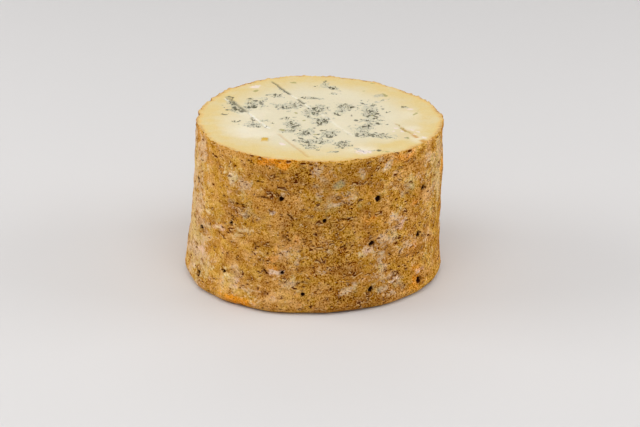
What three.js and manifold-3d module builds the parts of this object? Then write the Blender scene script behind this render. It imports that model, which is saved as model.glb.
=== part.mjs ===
// Half of a small blue-veined drum cheese, standing on its old end face with the fresh cut on top.
// One solid: a leaning, slightly flared drum with a rounded foot, a lumpy rind with needle holes
// and cracks, and a flat cut face with the needle tracks and the open mould pockets in it.
// Millimetres, +Z up, origin on the floor under the middle of the drum, shown side towards -Y.
import * as THREE from "three";
import { mergeVertices } from "three/addons/utils/BufferGeometryUtils.js";
import Module from "manifold-3d";

const wasm = await Module();
wasm.setup();

// Driving dimensions of the drum
const HEIGHT = 85.2;
const CUT_RADIUS = 65.4;
const FOOT_FLARE = 3.3;
const FLARE_HEIGHT = 17.7;
const FOOT_ROUNDING = 5;
const RIM_BEVEL = 0.6;
const LEAN = 3.2;

// How far the drum is from round: a three-cornered bulge all the way up, an oval foot and an oval cut
const CORNER_BULGE = 1.36;
const CORNER_TURN = 41.5;
const FOOT_OVAL = 1.4;
const FOOT_OVAL_TURN = 1.5;
const CUT_OVAL = 0.55;
const CUT_OVAL_TURN = 144.3;

// Lumps of the rind: waves that close round the drum, lower where they are shorter
const LUMP_SEED = 7;
const LUMP_WAVES = 26;
const LUMP_HEIGHT = 0.085;
const LUMP_FEWEST = 7;
const LUMP_MOST = 34;
const LUMP_REACH = [60, 12];
const LUMP_REACH_SPREAD = [0.8, 1.2];
const LUMP_TAPER = [1.3, 0.3];

// Unevenness of the cut face
const CUT_WAVE_HEIGHT = 0.12;
const CUT_WAVE_LENGTH = 47;
const CUT_WAVE_SKEW = 0.4;

// Needle holes in the rind that show, as azimuth, height and width
const SHOWN_HOLES = [
  [-130, 70, 2.6],
  [-80, 72, 3.2],
  [-105.5, 64, 2.8],
  [-60.5, 62, 3.2],
  [-33.5, 60.5, 2.6],
  [-85.5, 52.5, 2.2],
  [-130, 45, 2.6],
  [-62.5, 37.5, 3.0],
  [-35, 35, 2.4],
  [-103.7, 23, 2.4],
  [-132, 18, 2.6],
  [-93.7, 12, 3.2],
  [-62, 12, 3.0],
  [-34.5, 9, 3.2],
];
const HOLE_DEPTH = 3.6;

// On the far side the same needles leave columns of holes at an even pitch
const FAR_COLUMNS = 8;
const FAR_START = -4;
const COLUMN_PITCH = 30;
const FAR_ROWS = [11, 37, 62];
const HOLE_SEED = 21;
const HOLE_STRAY = [-4, 4];
const FAR_HOLE_WIDTH = [2.2, 3.2];

// Cracks in the rind that show, as azimuth, height, length and slant
const SHOWN_CRACKS = [
  [-120, 81, 6, -20],
  [-114.5, 63.8, 10, -8],
  [-124.5, 57, 7, -15],
  [-101, 55.5, 6, -50],
  [-76.5, 52.8, 8, 4],
  [-102, 43, 5, -30],
  [-143, 38.5, 6, -75],
  [-77, 37.8, 6, 20],
  [-117, 36.5, 5, -80],
  [-47, 29, 5, 40],
  [-111.5, 22.8, 5, -50],
  [-95.8, 18, 7, 22],
];
const CRACK_WIDTH = 1.0;
const CRACK_DEPTH = 1.3;
const CRACK_SEED = 33;
const FAR_CRACKS = 12;
const FAR_CRACK_HEIGHT = [14, 78];
const FAR_CRACK_LENGTH = [4, 9];
const FAR_CRACK_SLANT = [-60, 60];

// Needle tracks across the cut face: parallel grooves at an even spacing
const TRACK_HEADING = -63;
const TRACKS = [
  { offset: -31, from: -47, to: 49 },
  { offset: 2, from: -62, to: -14 },
  { offset: 32, from: 29, to: 56 },
];
const TRACK_WIDTH = 1.5;
const TRACK_DEPTH = 0.8;

// Larger mould pockets open in the cut face, as middle x and y, length, width and heading
const POCKETS = [
  [7.2, 45.3, 4, 3, -40],
  [-22.5, 32.3, 4, 3, -20],
  [-6, 28.8, 5, 2.6, -10],
  [-30.5, 24, 6, 2.4, 80],
  [-46.5, 20, 9, 3, -65],
  [-15.5, 20.8, 4, 2, -15],
  [-22.5, 18.5, 5, 2.4, -40],
  [-35.7, 16, 4, 3.5, 60],
  [-29.8, 16, 4, 2.8, 70],
  [-14, 15.5, 5, 3, 20],
  [16.5, 14.5, 5, 3, -60],
  [-2.5, 14, 5, 3, 60],
  [-17.8, 13.5, 4, 3, 60],
  [-43, 11, 6, 5, -60],
  [26.5, 10.5, 11, 5.5, -75],
  [-1.5, 7, 5, 3.2, 70],
  [29, 4.8, 5.5, 3.2, 80],
  [11, 3.5, 4, 3, -40],
  [-17, -2.5, 3.4, 3, 0],
  [-33.8, -5.5, 4.2, 2.4, -60],
  [0.8, -9.8, 4, 2.6, 20],
  [32.5, -10, 4.5, 2.2, 0],
  [-14, -12, 8, 4.5, -75],
  [26, -12.5, 5, 3.5, 30],
  [-27.8, -15.5, 4.2, 2, -60],
  [21.8, -20, 5, 2.4, 40],
  [-6.5, -25.5, 5, 3.4, 60],
  [26.5, -26, 3.2, 2.6, 0],
  [6.2, -27.5, 5, 3.4, 60],
  [32, -28.5, 4.5, 2.2, -50],
  [1.2, -38, 6, 3.4, -15],
  [11.8, -40.5, 5.5, 4, 70],
  [-4.6, -41.6, 4.6, 2.2, 0],
  [16.3, -41.7, 2.4, 2.2, 0],
];
const POCKET_DEPTH = 0.9;

// Fineness of the faceted surface
const SIDES = 84;
const SIDE_ROWS = 16;
const FOOT_ROWS = 4;
const CUT_RINGS = [0.86, 0.6, 0.3];
const CUTTER_SIDES = 6;
const CUTTER_ROWS = 4;
const TRACK_ROWS = 14;
const MERGE = 1e-4;

const RIND_COLOUR = 0xaf8042;
const RIND_ROUGHNESS = 0.85;

const { degToRad: radians, lerp } = THREE.MathUtils;

// The value a share of the way along a range.
function within([first, last], share) {
  return lerp(first, last, share);
}

// Repeatable random numbers from 0 to 1 (the mulberry32 generator).
function seeded(seed) {
  let state = seed >>> 0;
  return () => {
    state = (state + 0x6d2b79f5) >>> 0;
    let mixed = Math.imul(state ^ (state >>> 15), state | 1);
    mixed ^= mixed + Math.imul(mixed ^ (mixed >>> 7), mixed | 61);
    return ((mixed ^ (mixed >>> 14)) >>> 0) / 4294967296;
  };
}

// The waves whose sum makes the rind's lumps: count round the drum, phase per millimetre of height,
// phase and height of each.
function lumpWaves() {
  const random = seeded(LUMP_SEED);
  return Array.from({ length: LUMP_WAVES }, (_, i) => {
    const share = i / (LUMP_WAVES - 1);
    const count = Math.round(LUMP_FEWEST * (LUMP_MOST / LUMP_FEWEST) ** share);
    const reach = within(LUMP_REACH, share) * within(LUMP_REACH_SPREAD, random());
    const rising = i % 2 ? -1 : 1;
    return {
      count,
      climb: (rising * 2 * Math.PI) / reach,
      phase: 2 * Math.PI * random(),
      height: LUMP_HEIGHT * within(LUMP_TAPER, share),
    };
  });
}

const LUMPS = lumpWaves();

// Mean radius at a height: a straight wall and a foot that spreads under the weight.
function profileRadius(z) {
  return CUT_RADIUS + FOOT_FLARE * Math.exp(-z / FLARE_HEIGHT);
}

// Radius of the uneven rind at an azimuth (in radians) and a height.
function rindRadius(azimuth, z) {
  const corners = CORNER_BULGE * Math.cos(3 * azimuth + radians(CORNER_TURN));
  const footOval = FOOT_OVAL * Math.cos(2 * azimuth + radians(FOOT_OVAL_TURN));
  const cutOval = CUT_OVAL * Math.cos(2 * azimuth + radians(CUT_OVAL_TURN));
  const lumps = LUMPS.reduce(
    (sum, wave) => sum + wave.height * Math.cos(wave.count * azimuth + wave.climb * z + wave.phase),
    0,
  );
  return profileRadius(z) + corners + lerp(footOval, cutOval, z / HEIGHT) + lumps;
}

// How far the drum's middle has leaned towards +X at a height.
function leanAt(z) {
  return (LEAN * z) / HEIGHT;
}

// Height of the cut face above its mean at a place: two long low waves left by the knife.
function cutWave(x, y) {
  const turn = (2 * Math.PI) / CUT_WAVE_LENGTH;
  return CUT_WAVE_HEIGHT * Math.sin(turn * x) * Math.cos(turn * (y - CUT_WAVE_SKEW * x));
}

// Half of the drum's section, from the middle of the base round foot and rim to the middle of the cut.
function sectionPoints() {
  const points = [new THREE.Vector2(0, 0)];
  const footRadius = profileRadius(FOOT_ROUNDING);
  for (let i = 0; i < FOOT_ROWS; i++) {
    const angle = (Math.PI / 2) * (i / FOOT_ROWS);
    points.push(
      new THREE.Vector2(
        footRadius - FOOT_ROUNDING * (1 - Math.sin(angle)),
        FOOT_ROUNDING * (1 - Math.cos(angle)),
      ),
    );
  }
  for (let i = 0; i <= SIDE_ROWS; i++) {
    const z = lerp(FOOT_ROUNDING, HEIGHT - RIM_BEVEL, i / SIDE_ROWS);
    points.push(new THREE.Vector2(profileRadius(z), z));
  }
  const rim = profileRadius(HEIGHT) - RIM_BEVEL;
  points.push(new THREE.Vector2(rim, HEIGHT));
  CUT_RINGS.forEach((share) => points.push(new THREE.Vector2(rim * share, HEIGHT)));
  points.push(new THREE.Vector2(0, HEIGHT));
  return points;
}

// The drum as a lathed section, with every ring stretched out to the uneven rind.
function drumGeometry() {
  const geometry = new THREE.LatheGeometry(sectionPoints(), SIDES).rotateX(Math.PI / 2);
  const places = geometry.getAttribute("position");
  const cutEdge = HEIGHT - RIM_BEVEL / 2;
  for (let i = 0; i < places.count; i++) {
    const radius = Math.hypot(places.getX(i), places.getY(i));
    const azimuth = Math.atan2(places.getY(i), places.getX(i));
    const z = places.getZ(i);
    const stretched = (radius * rindRadius(azimuth, z)) / profileRadius(z);
    const x = stretched * Math.cos(azimuth);
    const y = stretched * Math.sin(azimuth);
    places.setXYZ(i, x + leanAt(z), y, z > cutEdge ? z + cutWave(x, y) : z);
  }
  return geometry;
}

// A geometry as a solid: shared corners merged, and triangles that collapsed on the axis dropped.
function solidOf(geometry) {
  geometry.deleteAttribute("normal");
  geometry.deleteAttribute("uv");
  const merged = mergeVertices(geometry, MERGE);
  const corners = merged.getIndex().array;
  const kept = [];
  for (let i = 0; i < corners.length; i += 3) {
    const [a, b, c] = corners.subarray(i, i + 3);
    if (a !== b && b !== c && c !== a) kept.push(a, b, c);
  }
  return new wasm.Manifold(
    new wasm.Mesh({
      numProp: 3,
      vertProperties: Float32Array.from(merged.getAttribute("position").array),
      triVerts: Uint32Array.from(kept),
    }),
  );
}

// A solid as a geometry.
function geometryOf(solid) {
  const { vertProperties, triVerts } = solid.getMesh();
  const geometry = new THREE.BufferGeometry();
  geometry.setAttribute("position", new THREE.BufferAttribute(vertProperties, 3));
  geometry.setIndex(new THREE.BufferAttribute(triVerts, 1));
  geometry.computeVertexNormals();
  return geometry;
}

// An ellipsoid to cut with: length along the given direction, depth along the outward normal.
function hollow(place, along, outward, length, width, depth, rows = CUTTER_ROWS) {
  const ball = new THREE.SphereGeometry(1, CUTTER_SIDES, rows).rotateZ(-Math.PI / 2);
  const across = new THREE.Vector3().crossVectors(outward, along);
  const frame = new THREE.Matrix4()
    .makeBasis(
      along.clone().multiplyScalar(length / 2),
      across.multiplyScalar(width / 2),
      outward.clone().multiplyScalar(depth),
    )
    .setPosition(place);
  return solidOf(ball.applyMatrix4(frame));
}

// A hollow in the rind at an azimuth and a height, its length slanting up round the drum.
function rindHollow(azimuthDegrees, z, length, width, depth, slantDegrees = 0) {
  const azimuth = radians(azimuthDegrees);
  const slant = radians(slantDegrees);
  const outward = new THREE.Vector3(Math.cos(azimuth), Math.sin(azimuth), 0);
  const round = new THREE.Vector3(-Math.sin(azimuth), Math.cos(azimuth), 0);
  const along = round
    .multiplyScalar(Math.cos(slant))
    .add(new THREE.Vector3(0, 0, Math.sin(slant)));
  const radius = rindRadius(azimuth, z);
  const place = new THREE.Vector3(radius * outward.x + leanAt(z), radius * outward.y, z);
  return hollow(place, along, outward, length, width, depth);
}

// A hollow in the cut face at a place measured from the middle of the cut.
function cutHollow(x, y, length, width, depth, headingDegrees, rows = CUTTER_ROWS) {
  const heading = radians(headingDegrees);
  const along = new THREE.Vector3(Math.cos(heading), Math.sin(heading), 0);
  const place = new THREE.Vector3(x + leanAt(HEIGHT), y, HEIGHT + cutWave(x, y));
  return hollow(place, along, new THREE.Vector3(0, 0, 1), length, width, depth, rows);
}

// Needle holes: those that show, and the far side's columns with a little stray.
function needleHoles() {
  const random = seeded(HOLE_SEED);
  const stray = () => within(HOLE_STRAY, random());
  const holes = SHOWN_HOLES.map(([azimuth, z, width]) => ({ azimuth, z, width }));
  for (let column = 0; column < FAR_COLUMNS; column++) {
    for (const row of FAR_ROWS) {
      holes.push({
        azimuth: FAR_START + column * COLUMN_PITCH + stray(),
        z: row + stray(),
        width: within(FAR_HOLE_WIDTH, random()),
      });
    }
  }
  return holes.map(({ azimuth, z, width }) => rindHollow(azimuth, z, width, width, HOLE_DEPTH));
}

// Cracks in the rind: those that show, and a few at random on the far side.
function cracks() {
  const random = seeded(CRACK_SEED);
  const farSpan = (FAR_COLUMNS - 1) * COLUMN_PITCH;
  const all = [...SHOWN_CRACKS];
  for (let i = 0; i < FAR_CRACKS; i++) {
    all.push([
      FAR_START + (farSpan * (i + random())) / FAR_CRACKS,
      within(FAR_CRACK_HEIGHT, random()),
      within(FAR_CRACK_LENGTH, random()),
      within(FAR_CRACK_SLANT, random()),
    ]);
  }
  return all.map(([azimuth, z, length, slant]) =>
    rindHollow(azimuth, z, length, CRACK_WIDTH, CRACK_DEPTH, slant),
  );
}

// Needle tracks: long shallow grooves, tapering at both ends.
function needleTracks() {
  const heading = radians(TRACK_HEADING);
  return TRACKS.map(({ offset, from, to }) => {
    const middle = (from + to) / 2;
    const x = middle * Math.cos(heading) - offset * Math.sin(heading);
    const y = middle * Math.sin(heading) + offset * Math.cos(heading);
    return cutHollow(x, y, to - from, TRACK_WIDTH, TRACK_DEPTH, TRACK_HEADING, TRACK_ROWS);
  });
}

// Open mould pockets in the cut face.
function mouldPockets() {
  return POCKETS.map(([x, y, length, width, heading]) =>
    cutHollow(x, y, length, width, POCKET_DEPTH, heading),
  );
}

// The whole cheese: the drum less its holes, cracks, tracks and pockets, without any loose crumb.
function cheeseSolid() {
  const cutters = [...needleHoles(), ...cracks(), ...needleTracks(), ...mouldPockets()];
  const cut = cutters.reduce((solid, cutter) => solid.subtract(cutter), solidOf(drumGeometry()));
  return cut.decompose().reduce((a, b) => (a.volume() > b.volume() ? a : b));
}

// Centres the cheese over the origin.
function cheeseMesh() {
  const geometry = geometryOf(cheeseSolid());
  geometry.computeBoundingBox();
  const middle = geometry.boundingBox.getCenter(new THREE.Vector3());
  geometry.translate(-middle.x, -middle.y, 0);
  const mesh = new THREE.Mesh(
    geometry,
    new THREE.MeshStandardMaterial({ color: RIND_COLOUR, roughness: RIND_ROUGHNESS, metalness: 0 }),
  );
  mesh.name = "cheese";
  return mesh;
}

const half = new THREE.Group();
half.add(cheeseMesh());

export default half;
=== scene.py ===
"""Half of a small blue-veined drum cheese: its uneven rind, its veined cut face and a plain studio.

Lengths are millimetres and angles are degrees until a mesh or a material is made.
"""

from __future__ import annotations

import functools
import itertools
import logging
import math
from dataclasses import dataclass, field
from enum import Enum

import bpy
import numpy as np
from mathutils import Matrix
from numpy.typing import NDArray


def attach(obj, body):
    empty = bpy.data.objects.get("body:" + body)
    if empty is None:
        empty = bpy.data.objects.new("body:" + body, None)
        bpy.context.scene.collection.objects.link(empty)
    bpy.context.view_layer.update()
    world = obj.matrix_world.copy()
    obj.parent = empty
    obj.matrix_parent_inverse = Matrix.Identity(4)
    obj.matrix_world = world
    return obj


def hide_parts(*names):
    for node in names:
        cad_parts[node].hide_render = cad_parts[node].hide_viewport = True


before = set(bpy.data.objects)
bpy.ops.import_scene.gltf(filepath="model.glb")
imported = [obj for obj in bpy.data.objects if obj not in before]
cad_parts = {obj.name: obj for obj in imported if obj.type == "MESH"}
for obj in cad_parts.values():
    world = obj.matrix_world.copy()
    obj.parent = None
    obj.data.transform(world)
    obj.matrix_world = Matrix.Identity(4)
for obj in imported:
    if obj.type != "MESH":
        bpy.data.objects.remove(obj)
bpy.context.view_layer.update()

Array = NDArray[np.float64]
Span = tuple[float, float]
Triple = tuple[float, float, float]
Colour = Triple
Crack = tuple[float, float, float, float]
Patch = tuple[float, float, float, float, float]
Patches = tuple[Patch, ...]
Weights = tuple[tuple[Enum, float], ...]
Socket = bpy.types.NodeSocket

LOG = logging.getLogger("half_cheese")
NODE = "cheese"
MM = 0.001
# Factor, first colour and second colour of a node that mixes colours, and its result.
MIX_INPUTS = (0, 6, 7)
MIX_OUTPUT = 2


def smooth_step(low: float, high: float, value: Array) -> Array:
    """Ramps smoothly from 0 at low to 1 at high: 3t²-2t³ of the share t of the way, held at both ends.

    Args:
        low: Value at which the ramp leaves 0; it may be the larger of the two.
        high: Value at which the ramp reaches 1.
        value: Values to ramp.

    Returns:
        The ramp at each value.
    """
    share = np.clip((value - low) / (high - low), 0, 1)
    return share * share * (3 - 2 * share)


def turned(east: Array, north: Array, heading: float) -> tuple[Array, Array]:
    """Measures offsets along and across a heading.

    Args:
        east: Offsets along the first axis.
        north: Offsets along the second axis.
        heading: Direction of the new first axis, in degrees from the old one.

    Returns:
        Offsets along the heading, and across it to its left.
    """
    cosine = math.cos(math.radians(heading))
    sine = math.sin(math.radians(heading))
    return east * cosine + north * sine, north * cosine - east * sine


class SeededDraws:
    """Repeatable random numbers by the mulberry32 rule: a counter whose bits are mixed by multiplying."""

    WORD = 0xFFFFFFFF
    STEP = 0x6D2B79F5

    def __init__(self, seed: int) -> None:
        """Starts the counter at the seed."""
        self.count = seed

    def share(self) -> float:
        """Returns the next number, from 0 up to 1."""
        self.count = (self.count + self.STEP) & self.WORD
        mixed = ((self.count ^ (self.count >> 15)) * (self.count | 1)) & self.WORD
        mixed ^= (mixed + (mixed ^ (mixed >> 7)) * (mixed | 61)) & self.WORD
        return (mixed ^ (mixed >> 14)) / (self.WORD + 1)

    def within(self, span: Span) -> float:
        """Returns the next number inside a span."""
        return span[0] + (span[1] - span[0]) * self.share()


@dataclass(frozen=True)
class SpaceNoise:
    """Smooth random values in space, the same on every run.

    Attributes:
        seed: Picks one field of values among many.
        wavelength: Distance from crest to crest of the first layer, or from grain to grain.
        layers: Number of layers, each of half the wavelength and half the height of the one before.
        height: Factor on the sum of the layers.
        gain: Factor on each layer that brings it to about -1 to 1.
        layer_shift: Offset from layer to layer, so that their cells don't line up.
        seed_stray: How far a grain may lie from the middle of its cell, as a share of the cell.
    """

    seed: int
    wavelength: float = 1.0
    layers: int = 1
    height: float = 1.0
    gain: float = 2.2
    layer_shift: float = 17.3
    seed_stray: float = 0.45

    def _words(self, cell: NDArray[np.int64]) -> NDArray[np.uint64]:
        """Scrambles each whole-numbered cell to a 32-bit word by multiplying and folding its bits."""
        word = np.full(len(cell), self.seed * 0x27D4EB2F, np.uint64)
        for axis, factor in enumerate((0x9E3779B1, 0x85EBCA77, 0xC2B2AE3D)):
            word = word + cell[:, axis].astype(np.uint64) * np.uint64(factor)
        for shift, factor in ((15, 0x2C1B3C6D), (12, 0x297A2D39)):
            word = word & np.uint64(SeededDraws.WORD)
            word = (word ^ (word >> np.uint64(shift))) * np.uint64(factor)
        word = word & np.uint64(SeededDraws.WORD)
        return word ^ (word >> np.uint64(15))

    def _triples(self, cell: NDArray[np.int64]) -> Array:
        """Gives each cell three numbers from -1 to 1, cut from its scrambled word."""
        shifts = np.array([0, 10, 20], np.uint64)
        return ((self._words(cell)[:, None] >> shifts) & np.uint64(1023)) / 511.5 - 1

    def _smooth(self, points: Array) -> Array:
        """Gradient noise of wavelength 1.

        Each corner of a unit cell holds a random slope. The value is the slopes' heights at the point,
        blended by the quintic fade 6t⁵-15t⁴+10t³ along each axis.

        Args:
            points: Places, as rows of three.

        Returns:
            A value for each place, mostly between -1 and 1 and 0 on average.
        """
        base = np.floor(points)
        inside = points - base
        fade = inside**3 * (inside * (inside * 6 - 15) + 10)
        total = np.zeros(len(points))
        for corner in itertools.product((0, 1), repeat=3):
            step = np.array(corner)
            slope = self._triples(base.astype(np.int64) + step)
            weight = np.where(step, fade, 1 - fade).prod(axis=1)
            total += weight * (slope * (inside - step)).sum(axis=1)
        return self.gain * total

    def at(self, points: Array) -> Array:
        """Adds up the layers of smooth noise.

        Args:
            points: Places, as rows of three.

        Returns:
            A value for each place, 0 on average.
        """
        total = np.zeros(len(points))
        for layer in range(self.layers):
            finer = 2**layer
            total += self._smooth(points * finer / self.wavelength + self.layer_shift * layer) / finer
        return self.height * total

    def grains(self, points: Array) -> Array:
        """Heights of rounded grains, one to a cell: half a cell less the distance to the nearest middle.

        Args:
            points: Places, as rows of three.

        Returns:
            The height at each place as a share of the cell, about 0 on average.
        """
        scaled = points / self.wavelength
        base = np.floor(scaled).astype(np.int64)
        nearest = np.full(len(points), np.inf)
        for corner in itertools.product((-1, 0, 1), repeat=3):
            cell = base + np.array(corner)
            middle = cell + 0.5 + self.seed_stray * self._triples(cell)
            nearest = np.minimum(nearest, ((scaled - middle) ** 2).sum(axis=1))
        return 0.5 - np.sqrt(nearest)


@dataclass(frozen=True)
class DrumForm:
    """The half drum without its finest relief: a leaning, slightly three-cornered drum on a spread foot.

    Attributes:
        cut_radius: Mean radius of the wall where the foot's spread has died away.
        lean: How far the cut face sits to the right of the base.
        corner_bulge, foot_oval, cut_oval: Height and turn of the three-cornered bulge and of both ovals.
        lump_counts: Crests round the drum of the first and last wave of the wall's broad lumps.
        lump_reach: Rise in which a wave comes round again, of the first and last wave.
        lump_reach_spread: Random factor on that rise.
        lump_taper: Height factor of the first and last wave.
        cut_wave: Height, length and skew of the cut face's slight waviness.
    """

    height: float = 85.2
    cut_radius: float = 65.4
    foot_flare: float = 3.3
    flare_height: float = 17.7
    foot_rounding: float = 5.0
    rim_bevel: float = 0.6
    lean: float = 3.2
    corner_bulge: Span = (1.36, 41.5)
    foot_oval: Span = (1.4, 1.5)
    cut_oval: Span = (0.55, 144.3)
    lump_seed: int = 7
    lump_waves: int = 26
    lump_height: float = 0.085
    lump_counts: tuple[int, int] = (7, 34)
    lump_reach: Span = (60, 12)
    lump_reach_spread: Span = (0.8, 1.2)
    lump_taper: Span = (1.3, 0.3)
    cut_wave: Triple = (0.12, 47, 0.4)

    def profile_radius(self, height: Array) -> Array:
        """Mean radius at a height: a straight wall plus a foot whose spread dies away as exp(-z/h)."""
        return self.cut_radius + self.foot_flare * np.exp(-height / self.flare_height)

    def lumps(self, azimuth: Array, height: Array) -> Array:
        """Sums the broad lumps of the wall: slanting cosine waves round and up the drum.

        Args:
            azimuth: Directions from the axis, in radians.
            height: Heights.

        Returns:
            What the lumps add to the radius.
        """
        draws = SeededDraws(self.lump_seed)
        fewest, most = self.lump_counts
        total = np.zeros(np.broadcast(azimuth, height).shape)
        for wave in range(self.lump_waves):
            share = wave / (self.lump_waves - 1)
            count = math.floor(fewest * (most / fewest) ** share + 0.5)
            reach = np.interp(share, (0, 1), self.lump_reach) * draws.within(self.lump_reach_spread)
            climb = math.tau / reach * (-1 if wave % 2 else 1)
            phase = math.tau * draws.share()
            crest = self.lump_height * np.interp(share, (0, 1), self.lump_taper)
            total += crest * np.cos(count * azimuth + climb * height + phase)
        return total

    def wall_radius(self, azimuth: Array, height: Array) -> Array:
        """Radius of the wall: the mean profile plus the bulge, the ovals and the lumps.

        Args:
            azimuth: Directions from the axis, in radians.
            height: Heights.

        Returns:
            The radius in each direction at each height.
        """
        bulge, bulge_turn = self.corner_bulge
        foot, foot_turn = self.foot_oval
        cut, cut_turn = self.cut_oval
        corners = bulge * np.cos(3 * azimuth + math.radians(bulge_turn))
        low = foot * np.cos(2 * azimuth + math.radians(foot_turn))
        high = cut * np.cos(2 * azimuth + math.radians(cut_turn))
        oval = low + (high - low) * height / self.height
        return self.profile_radius(height) + corners + oval + self.lumps(azimuth, height)

    def leaned(self, height: Array) -> Array:
        """How far right the axis is at a height: a straight lean."""
        return self.lean * height / self.height

    def cut_rise(self, x: Array, y: Array) -> Array:
        """Slight waviness of the cut face: the product of a sine along x and a cosine along a skewed y."""
        crest, length, skew = self.cut_wave
        turn = math.tau / length
        return crest * np.sin(turn * x) * np.cos(turn * (y - skew * x))


class Tint(Enum):
    """Colours that lie in patches on the rind; the pale tan one is painted light."""

    AMBER = "amber"
    UMBER = "umber"
    BLOOM = "bloom"
    ROSE = "rose"
    MOSS = "moss"
    CHALK = "chalk"
    PALE = "pale"


@dataclass
class RindCoat:
    """What lies on the rind at each point of a surface.

    Attributes:
        relief: Height over the plain form.
        pit: Nearness to a hole, 0.5 on its edge and 1 at its middle.
        crease: Nearness to a crack or a lesser pit, 0.5 on its edge and 1 at its middle.
        tints: Strength of each patch colour, from 0 to 1.
    """

    relief: Array
    pit: Array
    crease: Array
    tints: dict[Tint, Array]


@dataclass
class RindPoints:
    """Points of the rind.

    Attributes:
        azimuth: Their directions from the axis, in radians.
        height: Their heights.
        places: The points themselves, as rows of three.
    """

    azimuth: Array
    height: Array
    places: Array


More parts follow.
